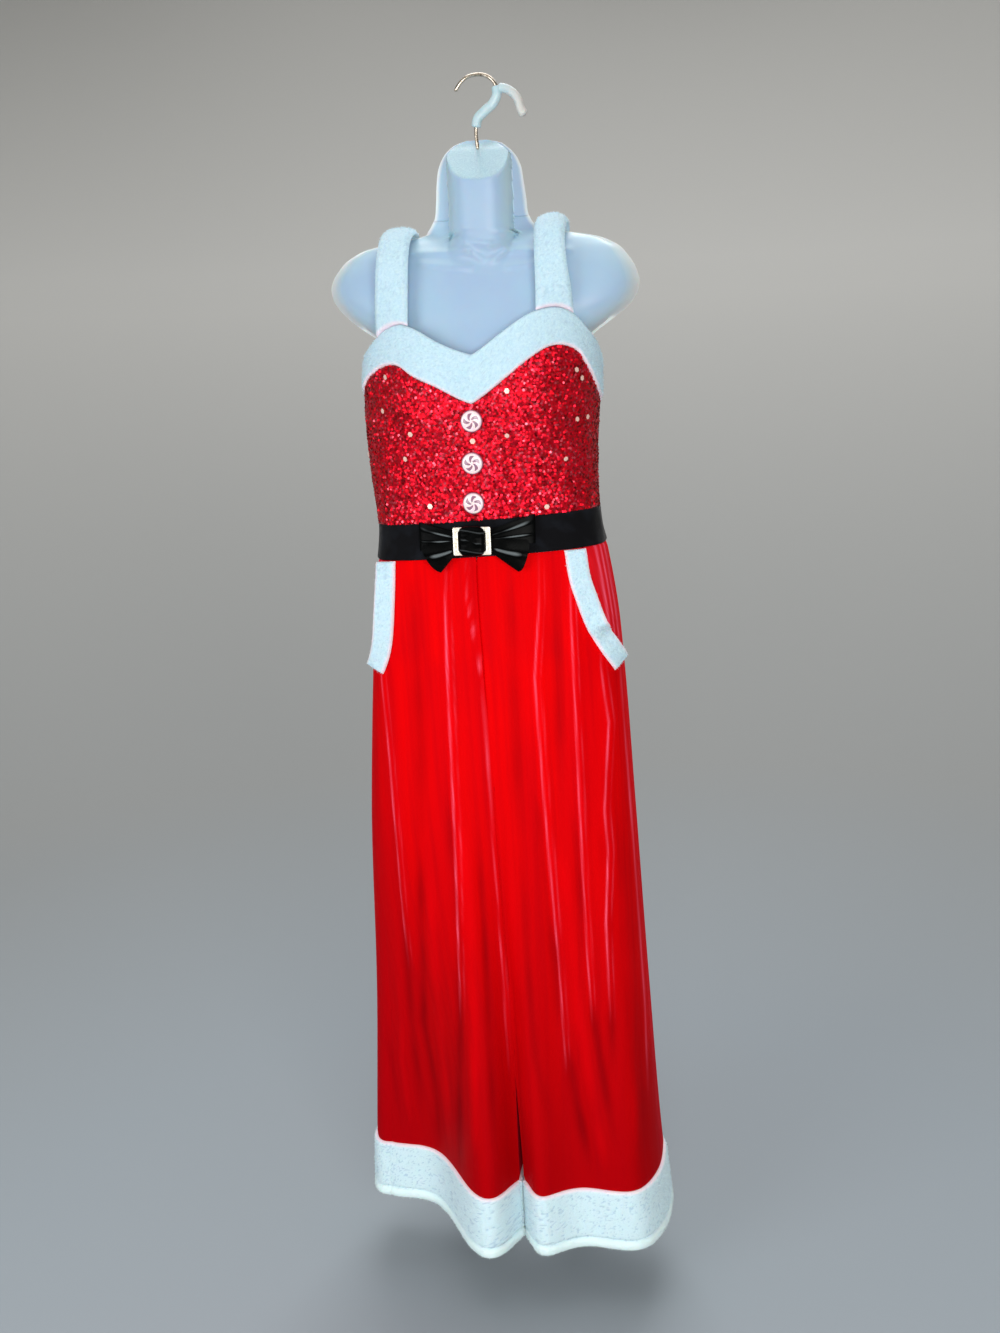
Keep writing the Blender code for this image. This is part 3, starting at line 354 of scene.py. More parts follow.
frosted = finish(
    "frosted_plastic", (0.34, 0.46, 0.62), 0.45, Subsurface_Weight=0.20, Subsurface_Scale=0.02,
    Specular_IOR_Level=0.40, Coat_Weight=0.10, Coat_Roughness=0.40,
)
place = object_place(frosted)
cloudy = steps(frosted, speckle(frosted, place, 9, 3), 0.35, 0.7)
body_tone = mix(frosted, cloudy, (0.32, 0.47, 0.65), (0.34, 0.53, 0.67))
# Paler where the form turns away to its sides: a painted highlight.
steep_highlight = steps(frosted, mark(frosted, "steep_highlight"), 0.15, 0.75)
side_highlight_tone = mix(frosted, steep_highlight, body_tone, (0.49, 0.68, 0.77))
grain = speckle(frosted, place, 520, 3, 0.6)
cap_tone = mix(frosted, steps(frosted, grain, 0.35, 0.65), (0.30, 0.48, 0.58), (0.41, 0.60, 0.67))
whole = mix(frosted, mark(frosted, "cap"), side_highlight_tone, cap_tone)
# A pale line round the rim, from the edge mark: a painted highlight.
use(frosted, Base_Color=mix(frosted, mark(frosted, "edge"), whole, (0.70, 0.75, 0.76)))
uneven_gloss(frosted, speckle(frosted, place, 60), 0.36, 0.52)
rough_surface(frosted, grain, 0.30, 0.0005)
shell(
    "dress_form", form_front - form_facing * FORM_PLASTIC, form_front, frosted, "form_white",
    ("form_shell",), {"steep_highlight": form_steep_highlight, "edge": form_rim_highlight, "cap": form_cap},
)


# ================================================================ the hook
# A plated wire bent into a hook, with a white moulded sleeve round its shank. The sleeve has a
# second, solid arm that points the other way. All of it lies in one plane over the form's rim.
WIRE, SLEEVE, ARM = 0.0048, 0.0130, 0.0115
WIRE_ROUTE = (
    (-0.0008, -0.0920), (-0.0018, -0.0640), (0.0008, -0.0530), (0.0107, -0.0440), (0.0222, -0.0350),
    (0.0280, -0.0240), (0.0275, -0.0135), (0.0215, -0.0045), (0.0120, 0.0010), (0.0000, 0.0024),
    (-0.0125, -0.0002), (-0.0215, -0.0070), (-0.0283, -0.0165),
)
ARM_ROUTE = (
    (0.0300, -0.0160), (0.0411, -0.0182), (0.0503, -0.0245), (0.0565, -0.0336), (0.0592, -0.0435),
    (0.0645, -0.0530),
)
SLEEVE_FROM, SLEEVE_TO = 1, 6
TURNED_OVER = [0, 3, 2, 1]  # the corners of a face in the other direction


def coordinate(material, place, axis):
    """A place's distance along one axis."""
    return add(material, "SeparateXYZ", {"Vector": place}).outputs[axis]


def smooth_route(points, count):
    """Evenly spread points on a smooth curve through a few."""
    points = np.array(points, float)
    along = run_along(points, 0)
    rows = np.column_stack([along, points])
    names = ("along",) + tuple(range(points.shape[1]))
    at = np.linspace(0, along[-1], count)
    return np.stack([table_value(rows, names, n, at) for n in names[1:]], -1)


def rod(name, route, radii, material, replaces):
    """A round rod in the plane y = 0: a circle carried along the route, of each place's radius, and
    closed by a fan at each end."""
    route, radii = np.asarray(route), np.asarray(radii)
    along = unit(np.gradient(route, axis=0))
    turn = np.linspace(0, 2 * np.pi, 25)[:-1]
    aside = np.stack([along[:, 1], -along[:, 0]], -1)
    reach = np.cos(turn)[None, :, None] * aside[:, None] * radii[:, None, None]
    x, z = np.moveaxis(route[:, None] + reach, -1, 0)
    rings = grid_of(x, np.sin(turn) * radii[:, None], z)
    count, sides = rings.shape[:2]
    loop = ring_index(count, sides)
    wall = grid_faces(loop)[:, TURNED_OVER]
    ends = np.stack([rings[0].mean(0), rings[-1].mean(0)])
    first, last = count * sides, count * sides + 1
    fans = [
        np.stack([loop[0, :-1], loop[0, 1:], np.full(sides, first)], -1),
        np.stack([loop[-1, 1:], loop[-1, :-1], np.full(sides, last)], -1),
    ]
    points = np.concatenate([rings.reshape(-1, 3), ends])
    return piece(name, points, [wall] + fans, material, replaces)


def rounded_ends(count, radius, share):
    """A radius for each place: full, and drawn in as a quarter circle over a share at both ends."""
    at = np.linspace(0, 1, count)
    near = np.clip(np.minimum(at, 1 - at) / share, 0, 1)
    return radius * np.sqrt(np.clip(1 - (1 - near) ** 2 * 0.75, 0, 1))


chrome = finish("plated_wire", (0.62, 0.54, 0.44), 0.20, Metallic=1.0)
place = object_place(chrome)
worn = steps(chrome, speckle(chrome, place, 180, 4), 0.45, 0.75)
use(chrome, Base_Color=mix(chrome, worn, (0.66, 0.58, 0.48), (0.28, 0.21, 0.15)))
uneven_gloss(chrome, speckle(chrome, place, 400), 0.14, 0.30)

moulded = finish("moulded_white", (0.80, 0.90, 0.93), 0.42, Subsurface_Weight=0.1, Coat_Weight=0.1)
place = object_place(moulded)
toward_arm = coordinate(moulded, place, "X")
clouded = steps(moulded, speckle(moulded, place, 60, 3), 0.35, 0.7)
clean = mix(moulded, clouded, (0.42, 0.60, 0.66), (0.53, 0.67, 0.71))
# Greyer and less blue towards the arm, from 30 to 60 mm in x.
toward_arm = steps(moulded, toward_arm, 0.030, 0.060)
use(moulded, Base_Color=mix(moulded, toward_arm, clean, (0.57, 0.575, 0.555)))
rough_surface(moulded, speckle(moulded, place, 900, 2), 0.3, 0.0003)

rod(
    "hook_wire_plated", smooth_route(WIRE_ROUTE, 90), rounded_ends(90, WIRE / 2, 0.012),
    chrome, ("hook_wire",),
)
rod(
    "hook_sleeve_moulded", smooth_route(WIRE_ROUTE[SLEEVE_FROM:SLEEVE_TO + 1], 60),
    rounded_ends(60, SLEEVE / 2, 0.03), moulded, ("hook_sleeve",),
)
arm_along = np.linspace(0, 1, 50)
arm_flare = 1 + 0.10 * hump(arm_along - 1, 0.12) + 0.12 * hump(arm_along, 0.12)
rod(
    "hook_arm_moulded", smooth_route(ARM_ROUTE, 50), rounded_ends(50, ARM / 2, 0.07) * arm_flare,
    moulded, ("hook_arm",),
)


# ================================================================ the bodice
# A front and a back of red stretch knit, sewn together at the sides and shaped into two soft cups,
# covered all over with small cupped sequins that overlap like shingles.
SECTION_COLUMNS = (
    "z", "right", "middle", "left", "front", "back", "right_y", "left_y",
    "right_square", "left_square", "back_square", "lean",
)
SECTIONS = (
    (-0.300, -0.160, -0.004, 0.149, -0.084, 0.034, 0.000, 0.000, 2.3, 2.3, 4.5, 0.060),
    (-0.360, -0.169, -0.004, 0.154, -0.093, 0.037, 0.000, 0.000, 2.3, 2.3, 4.5, 0.060),
    (-0.420, -0.172, -0.005, 0.153, -0.098, 0.040, 0.000, 0.000, 2.4, 2.3, 4.5, 0.055),
    (-0.500, -0.168, -0.008, 0.148, -0.097, 0.043, 0.000, 0.000, 2.6, 2.2, 4.0, 0.050),
    (-0.600, -0.160, -0.010, 0.151, -0.093, 0.046, 0.000, 0.000, 3.0, 2.3, 3.6, 0.045),
    (-0.640, -0.162, -0.009, 0.159, -0.095, 0.050, 0.000, 0.000, 3.6, 2.5, 3.4, 0.040),
    (-0.720, -0.171, -0.007, 0.172, -0.099, 0.059, 0.000, 0.000, 4.0, 2.7, 3.2, 0.022),
    (-0.800, -0.179, -0.004, 0.179, -0.101, 0.070, 0.000, 0.000, 3.6, 2.7, 2.8, 0.000),
    (-1.000, -0.198, 0.000, 0.190, -0.104, 0.088, 0.010, 0.004, 3.0, 2.6, 2.5, 0.000),
    (-1.300, -0.217, 0.008, 0.205, -0.107, 0.106, 0.030, 0.014, 2.7, 2.6, 2.5, 0.000),
    (-1.585, -0.240, 0.015, 0.222, -0.118, 0.124, 0.060, 0.026, 2.8, 2.7, 2.6, 0.000),
    (-1.680, -0.246, 0.017, 0.231, -0.121, 0.130, 0.068, 0.030, 2.8, 2.8, 2.7, 0.000),
)
CUP_APART, CUP_HEIGHT, CUP_Z = 0.080, 0.016, -0.425
CUP_WIDE, CUP_TALL = 0.058, 0.070
NECKLINE_COLUMNS = ("turn", "sewn_right", "sewn_left", "top_right", "top_left")
NECKLINE = (
    (0, -0.4255, -0.4255, -0.3618, -0.3618),
    (13, -0.4000, -0.3987, -0.3420, -0.3360),
    (25, -0.3830, -0.3765, -0.3220, -0.3180),
    (35, -0.3665, -0.3633, -0.3125, -0.3120),
    (46, -0.3645, -0.3615, -0.3155, -0.3130),
    (56, -0.3710, -0.3700, -0.3260, -0.3230),
    (66, -0.3790, -0.3900, -0.3370, -0.3400),
    (78, -0.3910, -0.4150, -0.3480, -0.3570),
    (90, -0.4020, -0.4300, -0.3600, -0.3740),
    (105, -0.4200, -0.4400, -0.3780, -0.3880),
    (135, -0.4400, -0.4460, -0.3950, -0.3970),
    (180, -0.4480, -0.4480, -0.4000, -0.4000),
)
BELT_TOP, BELT_BOTTOM = -0.5800, -0.6300
SEAM = 0.0005
KNIT = 0.0014
KNIT_QUARTER, KNIT_ROWS = 55, 56
SEQUIN_WIDE, SEQUIN_DEEP = 0.0040, 0.0005
SEQUIN_APART, SEQUIN_ROW = 0.0031, 0.0027
SEQUIN_SIDES = 6
SEQUIN_LIFT = 0.0010  # over the knit
GLINT_SEQUIN_WIDE, GLINT_SEQUIN_LIFT = 0.0076, 0.0028
# The larger sequins scattered on the front, whose pale colour is a painted glint: x and height.
GLINT_SEQUINS = (
    (-0.125, -0.387), (-0.130, -0.431), (-0.089, -0.462), (-0.163, -0.490), (-0.100, -0.495),
    (0.129, -0.387), (0.044, -0.411), (0.128, -0.451), (0.140, -0.449), (0.041, -0.468),
    (0.112, -0.503), (-0.006, -0.474), (0.135, -0.398), (-0.070, -0.560), (0.086, -0.566),
)


def shade_table(rows, columns, seed, across, along):
    """Soft random unevenness from -1 to 1 over a grid: random values at across by along places,
    joined by eased steps."""
    coarse = np.random.default_rng(seed).uniform(-1, 1, (across + 1, along + 1))
    r = np.linspace(0, across - 1e-6, rows)
    c = np.linspace(0, along - 1e-6, columns)
    i, j = r.astype(int), c.astype(int)
    s, t = ease(r - i)[:, None], ease(c - j)[None, :]
    top = coarse[i][:, j] * (1 - t) + coarse[i][:, j + 1] * t
    low = coarse[i + 1][:, j] * (1 - t) + coarse[i + 1][:, j + 1] * t
    return top * (1 - s) + low * s


def cloth_place(material):
    """A point's place on the flat cloth, in metres, for a pattern that follows it."""
    return add(material, "UVMap", uv_map="cloth").outputs["UV"]


def section(z):
    """The suit's section at each height, as a dict of its columns."""
    return {c: table_value(SECTIONS, SECTION_COLUMNS, c, z) for c in SECTION_COLUMNS[1:]}


def body(angle, z):
    """The suit's inner face at an angle in degrees round it and a height: a superellipse with its
    own width on each side and depth before and behind, plus the two cups. 0 is the wearer's left
    side, 90 the centre front and 180 the right side."""
    row = section(z)
    turn = np.radians(angle)
    c, s = np.cos(turn), np.sin(turn)
    on_left = c >= 0
    power = 2 / np.where(
        s >= 0, np.where(on_left, row["left_square"], row["right_square"]), row["back_square"]
    )
    half = np.where(on_left, row["left"] - row["middle"], row["middle"] - row["right"])
    x = row["middle"] + half * np.sign(c) * np.abs(c) ** power
    side_y = np.where(on_left, row["left_y"], row["right_y"])
    y = side_y + (np.where(s >= 0, row["front"], row["back"]) - side_y) * np.abs(s) ** power
    for cup_x in (-CUP_APART, CUP_APART):
        mound = np.exp(-(((x - cup_x) / CUP_WIDE) ** 2) - ((z - CUP_Z) / CUP_TALL) ** 2)
        y = y - CUP_HEIGHT * mound * np.clip(s, 0, 1)
    return grid_of(x, y, z + row["lean"] * x)


def facing(surface, u, v, step_u, step_v):
    """Unit normals of surface(u, v), out of the body: one small step along it crossed with the
    other."""
    along_u = surface(u + step_u, v) - surface(u - step_u, v)
    along_v = surface(u, v + step_v) - surface(u, v - step_v)
    return unit(np.cross(along_u, along_v))


def body_out(angle, z):
    """The way out of the body, from steps of half a degree and of a millimetre."""
    return facing(body, angle, z, -0.5, 0.001)


def front_angle(x, z):
    """The angle round the body at which its front has that x, by the section at that height."""
    row = section(z)
    half = np.where(x >= row["middle"], row["left"] - row["middle"], row["middle"] - row["right"])
    square = np.where(x >= row["middle"], row["left_square"], row["right_square"])
    reach = np.clip((x - row["middle"]) / half, -0.999, 0.999)
    return np.degrees(np.arccos(np.sign(reach) * np.abs(reach) ** (square / 2)))


def neckline(wanted, angles):
    """An edge of the plush band, "sewn" or "top", at any angle round the body."""
    turn = np.abs((90 - np.asarray(angles, float) + 180) % 360 - 180)
    on_left = np.cos(np.radians(angles)) >= 0
    left = table_value(NECKLINE, NECKLINE_COLUMNS, wanted + "_left", turn)
    right = table_value(NECKLINE, NECKLINE_COLUMNS, wanted + "_right", turn)
    return np.where(on_left, left, right)


def draw_in(grid, gaps):
    """Moves a grid's borders in along the grid: its first row, last row, first and last column."""
    grid = grid.copy()
    for edge, inner, gap in ((0, 1, gaps[0]), (-1, -2, gaps[1])):
        if gap:
            grid[edge] += unit(grid[inner] - grid[edge]) * gap
    for edge, inner, gap in ((0, 1, gaps[2]), (-1, -2, gaps[3])):
        if gap:
            grid[:, edge] += unit(grid[:, inner] - grid[:, edge]) * gap
    return grid


def border_distance(grid, edges):
    """Each point's distance along the cloth to the nearest of the named borders: b the first row, t
    the last, l the first column and r the last."""
    flat = flat_places(grid)
    u, v = flat[..., 0], flat[..., 1]
    found = {"b": v, "t": v[-1:] - v, "l": u, "r": u[:, -1:] - u}
    return np.min([found[e] for e in edges], axis=0)


def rounded(distance, radius, least):
    """A share of the full thickness: a quarter circle from least at the border up to 1."""
    reach = 1 - np.clip(distance / radius, 0, 1)
    return least + (1 - least) * np.sqrt(1 - reach**2)


def body_grid(angles, low, high, rows):
    """A grid of the body between two heights, rows upwards, and its way out."""
    share = np.linspace(0, 1, rows)[:, None]
    angle = np.broadcast_to(angles, (rows, len(angles)))
    z = low + (high - low) * share + 0 * angle
    return body(angle, z), body_out(angle, z)


def even_angles(first, last, quarter):
    """Angles that spread evenly along the body's section at mid height, with so many steps to each
    quarter. Its angles are first taken closest where it is flattest, at whole quarters."""
    found = []
    for start in range(first, last, 90):
        fine = start + 90 * ease(np.linspace(0, 1, 300))
        along = run_along(body(fine, -0.500), 0)
        found.append(np.interp(np.linspace(0, along[-1], quarter + 1)[:-1], along, fine))
    return np.concatenate(found + [[last]])


def sequin_spots(first):
    """Places for sequins on the front (from 0 degrees) or back (from 180): rows a set height apart,
    each spread evenly along its length and set off from the row before it."""
    z = np.arange(BELT_TOP + 0.0012, -0.355, SEQUIN_ROW)
    fine = even_angles(first, first + 180, 150)
    long = run_along(body(fine[None, :], z[:, None]), 1)
    angles, heights = [], []
    chance = np.random.default_rng(11 + first)
    for k in range(len(z)):
        at = np.arange((k % 2) * SEQUIN_APART / 2, long[k, -1], SEQUIN_APART)
        at = at + chance.uniform(-0.0004, 0.0004, len(at))
        angles.append(np.interp(at, long[k], fine))
        heights.append(np.full(len(at), z[k]))
    angles, heights = np.concatenate(angles), np.concatenate(heights)
    heights = heights + chance.uniform(-0.0006, 0.0006, len(heights))
    kept = heights < neckline("sewn", angles) - 0.0008
    return np.clip(angles[kept], first, first + 180), heights[kept]


def rim_points(spots, across, upward, turn, radius):
    """Points round each spot at some angles, in the plane of its two directions."""
    return spots[:, None] + radius * (
        np.cos(turn)[..., None] * across[:, None] + np.sin(turn)[..., None] * upward[:, None]
    )


def repeated(faces, points_each, count):
    """The faces of one small shape, for many in a row."""
    return (faces[None] + points_each * np.arange(count)[:, None, None]).reshape(-1, 3)


def sequins(name, spots, out, wide, tilt, seed, shade, material):
    """Cupped discs, one at each spot. A disc is a ring of rim points about its centre, in a plane
    tilted from the cloth, and a back centre closes it. All of them are one mesh."""
    count = len(spots)
    chance = np.random.default_rng(seed)
    out = unit(out + tilt * chance.normal(0, 1, (count, 3)) - np.array([0, 0, 0.10]))
    across = unit(np.cross(out, np.array([0.0, 0.0, 1.0])))
    upward = np.cross(across, out)
    turn = np.linspace(0, 2 * np.pi, SEQUIN_SIDES, endpoint=False)
    turn = turn + chance.uniform(0, 6, (count, 1))
    radius = wide / 2 * chance.uniform(0.9, 1.06, (count, 1, 1))
    rim = rim_points(spots, across, upward, turn, radius)
    front = spots + out * SEQUIN_DEEP * 0.35
    back = spots - out * SEQUIN_DEEP
    points = np.concatenate([rim, front[:, None], back[:, None]], axis=1)
    one = SEQUIN_SIDES + 2
    ring = np.arange(SEQUIN_SIDES)
    after = (ring + 1) % SEQUIN_SIDES
    disc = np.concatenate([
        np.stack([after, ring, 0 * ring + SEQUIN_SIDES], -1),
        np.stack([ring, after, 0 * ring + SEQUIN_SIDES + 1], -1),
    ])
    return piece(
        name, points.reshape(-1, 3), [repeated(disc, one, count)], material,
        marks={"shade": np.repeat(shade, one)}, sharp=25,
    )


knit = finish(
    "red_stretch_knit", (0.30, 0.003, 0.008), 0.6, Sheen_Weight=0.15, Specular_IOR_Level=0.3
)
weave = add(
    knit, "TexWave", {"Vector": cloth_place(knit), "Scale": 400.0, "Distortion": 1.5},
    bands_direction="X",
)
use(knit, Base_Color=mix(knit, weave.outputs["Fac"], (0.16, 0.001, 0.004), (0.42, 0.006, 0.014)))
rough_surface(knit, weave.outputs["Fac"], 0.5, 0.0003)

foil = finish("sequin_foil", (0.70, 0.006, 0.02), 0.40, Metallic=0.85)
shade = mark(foil, "shade")
deep = mix(foil, steps(foil, shade, 0.0, 0.30), (0.22, 0.000, 0.004), (0.86, 0.002, 0.016))
light = mix(foil, steps(foil, shade, 0.30, 0.75), deep, (0.70, 0.007, 0.030))
# Only the glint sequins reach the palest shades: a painted pink highlight.
glint_pink = mix(foil, steps(foil, shade, 0.75, 1.0), light, (0.88, 0.10, 0.145))
use(foil, Base_Color=glint_pink)
use(foil, Roughness=steps(foil, shade, 0.0, 1.0, 0.46, 0.30))

# Their pale peach colour is a painted highlight: glints.
glint_foil = finish("painted_glint_foil", (1.0, 0.66, 0.56), 0.32, Metallic=0.30, Coat_Weight=0.3)
glint_place = object_place(glint_foil)
use(glint_foil, Base_Color=mix(
    glint_foil, speckle(glint_foil, glint_place, 300), (0.95, 0.44, 0.38), (1.0, 0.80, 0.68)
))

for name, first, seed, flat, area in (
    ("bodice_front", 0, 31, (0.44, 0.235), 0.084), ("bodice_back", 180, 32, (0.37, 0.185), 0.052),
):
    angles = even_angles(first, first + 180, KNIT_QUARTER)
    inner, out = body_grid(angles, BELT_TOP, neckline("sewn", angles), KNIT_ROWS)
    soft = shade_table(*inner.shape[:2], seed, 5, 12) * 0.0008
    edge = rounded(border_distance(inner, "btlr"), 0.004, 0.45)
    outer = inner + out * (KNIT * edge + soft * edge)[..., None]
    inner = inner + out * (soft * edge)[..., None]
    skins = [draw_in(grid, (SEAM / 2,) * 4) for grid in (inner, outer)]
    cloth = shell(name + "_knit", *skins, knit, "sequin_red", (name,))
    angle, height = sequin_spots(first)
    chance = np.random.default_rng(seed + 7)
    bright = np.clip(chance.normal(0.40, 0.21, len(angle)), 0, 0.74)
    patch = np.sin(angle / 7.3 + 31 * height) * np.sin(angle / 4.1 - 57 * height + 2)
    # Sequins near the sides, where the body turns away, are darkened: painted shade.
    side_shade = hump(np.abs((angle - first) % 180 - 90) - 90, 13)
    bright = np.clip(bright + 0.10 * patch - 0.26 * side_shade, 0.0, 0.74)
    # About one sequin in eight is a glint, given a painted highlight.
    glints = chance.uniform(0, 1, len(angle)) < 0.13
    bright = np.where(glints, chance.uniform(0.8, 1.0, len(angle)), bright)
    spots = body(angle, height) + body_out(angle, height) * (KNIT + SEQUIN_LIFT)
    tilt = np.where(chance.uniform(0, 1, (len(angle), 1)) < 0.25, 0.40, 0.22)
    foils = [sequins(
        name + "_sequins", spots, body_out(angle, height), SEQUIN_WIDE, tilt, seed, bright, foil
    )]
    if first == 0:
        # The larger sequins, whose pale colour is a painted glint.
        x, z = np.array(GLINT_SEQUINS).T
        angle, unleaned = front_angle(x, z), z - section(z)["lean"] * x
        out = body_out(angle, unleaned)
        spots = body(angle, unleaned) + out * (KNIT + GLINT_SEQUIN_LIFT)
        foils.append(sequins(
            "painted_glint_sequins", spots, out, GLINT_SEQUIN_WIDE, 0.12, 9, np.ones(len(x)), glint_foil
        ))


# ================================================================ the plush band of the neckline
# A wide strip of white curly plush, knitted with a deep pile, sewn to the top edge of the sequin
# cloth, with its free edge turned under. It dips to a point at the centre of the front.
PLUSH = 0.0055
PILE_LONG, PILE_APART, PILE_ROOT, PILE_SUNK = 0.0026, 0.0019, 0.00042, 0.0006
CURL_LONG, CURL_DEEP = 0.0085, 0.0009
CURL_WAVES = 26
# How far from a sewn border the painted pink reflected light runs.
PINK_REFLECTION_WIDE = 0.0026


def times(material, one, other):
    """One value multiplied by another."""
    return add(material, "Math", {0: one, 1: other}, operation="MULTIPLY").outputs["Value"]


def thinned(thick, grid, *borders):
    """A thickness drawn in towards some of a grid's borders: each with its radius and least."""
    for edges, radius, least in borders:
        thick = thick * rounded(border_distance(grid, edges), radius, least)
    return thick


def curls(u, v, seed):
    """Curled locks from 0 to 1: waves of one length in every direction are summed, and a thin
    worm-like furrow runs wherever the sum crosses nought."""
    chance = np.random.default_rng(seed)
    way = chance.uniform(0, np.pi, CURL_WAVES)
    start = chance.uniform(0, 2 * np.pi, CURL_WAVES)
    long = CURL_LONG * chance.uniform(0.8, 1.3, CURL_WAVES)
    total = sum(
        np.cos(2 * np.pi * (u * np.cos(w) + v * np.sin(w)) / l + s)
        for w, s, l in zip(way, start, long)
    )
    return np.tanh(1.7 * np.abs(total) / math.sqrt(CURL_WAVES / 2))


def pile(name, root, out, marks, seed, material):
    """Short tufts that stand all over a grid: at random places, each a slim closed spike of three
    sides, its root in the cloth and its tip leaning down and at random, shorter in a furrow. Each
    takes the grid's marks at its root."""
    chance = np.random.default_rng(seed)
    rows, columns = root.shape[:2]
    a, b = root[1:, :-1] - root[:-1, :-1], root[:-1, 1:] - root[:-1, :-1]
    area = np.linalg.norm(np.cross(a, b), axis=-1).ravel()
    count = int(area.sum() / PILE_APART**2)
    cell = np.searchsorted(np.cumsum(area) / area.sum(), (np.arange(count) + 0.5) / count)
    i, j = np.unravel_index(np.clip(cell, 0, len(area) - 1), (rows - 1, columns - 1))
    s, t = chance.uniform(0, 1, (2, count, 1))
    spot = (
        root[i, j] * (1 - s) * (1 - t) + root[i + 1, j] * s * (1 - t)
        + root[i, j + 1] * (1 - s) * t + root[i + 1, j + 1] * s * t
    )
    lean = chance.normal(0, 0.55, (count, 3)) - np.array([0, 0, 0.35])
    long = PILE_LONG * chance.uniform(0.55, 1.25, count) * (0.25 + 0.9 * marks["curl"][i, j])
    tip = spot + unit(out[i, j] + lean) * long[:, None]
    side = unit(np.cross(out[i, j], chance.normal(0, 1, (count, 3))))
    other = np.cross(out[i, j], side)
    turn = np.array([0, 2, 4]) * np.pi / 3
    base = rim_points(spot, side, other, turn, PILE_ROOT) - out[i, j][:, None] * PILE_SUNK
    points = np.concatenate([base, tip[:, None]], axis=1)
    spike = np.array([[0, 2, 1], [0, 1, 3], [1, 2, 3], [2, 0, 3]])
    faces = repeated(spike, 4, count)
    own = {m: np.repeat(values[i, j], 4) for m, values in marks.items()}
    return piece(name, points.reshape(-1, 3), [faces], material, marks=own, sharp=0)


plush, pile_yarn = (
    finish(
        name, (0.70, 0.90, 0.97), 0.9, Sheen_Weight=0.25, Sheen_Roughness=0.5,
        Subsurface_Weight=0.15, Subsurface_Scale=0.004, Specular_IOR_Level=0.10,
    )
    for name in ("curly_plush", "plush_pile")
)
for yarn, dim in ((plush, 0.90), (pile_yarn, 1.0)):
    dull, pale, low_painted_light, furrow_shade_tone = (
        tuple(dim * c for c in tone)
        for tone in (
            (0.555, 0.765, 0.89), (0.655, 0.85, 0.935), (0.74, 0.93, 0.995), (0.52, 0.71, 0.83),
        )
    )
    fluff = speckle(yarn, object_place(yarn), 260, 3, 0.6)
    tone = mix(yarn, steps(yarn, fluff, 0.35, 0.65), dull, pale)
    # Lighter towards the bottom, down to the cuffs: painted light.
    height = coordinate(yarn, object_place(yarn), "Z")
    tone = mix(yarn, steps(yarn, height, -0.5, -1.5), tone, low_painted_light)
    # Darker in the furrows between the curls: painted shade.
    furrow = steps(yarn, mark(yarn, "curl"), 0.60, 0.20)
    tone = mix(yarn, furrow, tone, furrow_shade_tone)
    tone = mix(yarn, mark(yarn, "hem"), tone, (0.78, 0.94, 0.95))
    # A pinkish white along the sewn borders: painted reflected light from the red cloth.
    use(yarn, Base_Color=mix(yarn, times(yarn, mark(yarn, "edge"), 0.9), tone, (0.99, 0.80, 0.88)))
rough_surface(plush, speckle(plush, cloth_place(plush), 650, 3, 0.65), 0.6, 0.0009)


def plush_piece(name, inner, out, thick, seed, replaces, ring=False, hem=0.0, sewn="b"):
    """A plush strip with curls raised on its outer face, and its pile. Its sewn borders get a
    painted pink reflected light from the red cloth they are sewn to."""
    edge = hump(border_distance(inner, sewn), PINK_REFLECTION_WIDE)
    flat = flat_places(inner)
    curl = curls(flat[..., 0], flat[..., 1], seed)
    share = thick / thick.max()
    outer = inner + out * (thick + CURL_DEEP * (curl - 0.5) * share)[..., None]
    marks = {"curl": curl, "hem": hem + 0 * curl, "edge": edge}
    made = shell(name + "_plush", inner, outer, plush, "plush_white", replaces, marks, ring)
    return made, pile(name + "_pile", outer, out, marks, seed + 50, pile_yarn)


for name, first, seed, flat in (
    ("neckline_band_front", 0, 61, (0.50, 0.053)), ("neckline_band_back", 180, 62, (0.40, 0.050)),
):
    angles = even_angles(first, first + 180, 90)
    inner, out = body_grid(angles, neckline("sewn", angles), neckline("top", angles), 30)
    inner = draw_in(inner, (SEAM / 2,) * 4)
    thick = thinned(PLUSH, inner, ("t", 0.006, 0.35), ("b", 0.005, 0.45), ("lr", 0.004, 0.6))
    cloth, tufts = plush_piece(name, inner, out, thick, seed, (name,))


# ================================================================ the shoulder straps
# Two straps of the same plush, folded double, sewn under the band in front and behind. Each lies
# over the form's shoulder.
STRAP_PLUSH = 0.0080
# The angles from the middle plane between which a strap is sewn on, in front and behind.
STRAP_FRONT, STRAP_BACK = (30, 55), (20, 35)
# Each strap: its x, width and height over the shoulder, how far its two edges drop there, and its
# flat size as folded, along its path.
STRAPS = (
    ("left", 1, 0.0960, 0.037, -0.1860, 0.008, (0.038, 0.376)),
    ("right", -1, -0.1150, 0.041, -0.1935, 0.0044, (0.0415, 0.376)),
)
STRAP_PATH_COLUMNS = ("along", "y", "z", "raised")
STRAP_PATH = (
    (0.00, -0.0750, -0.3130, 0.0),
    (0.12, -0.0640, -0.2750, 0.1),
    (0.26, -0.0460, -0.2300, 0.5),
    (0.35, -0.0240, -0.2060, 0.9),
    (0.42, 0.0060, -0.1965, 1.0),
    (0.49, 0.0290, -0.2005, 1.0),
    (0.56, 0.0385, -0.2240, 0.5),
    (0.75, 0.0390, -0.3000, 0.1),
    (1.00, 0.0370, -0.3990, 0.0),
)
STRAP_TOP = 4
STRAP_HOLD = 0.30  # share of its length at each end that turns to lie on the band

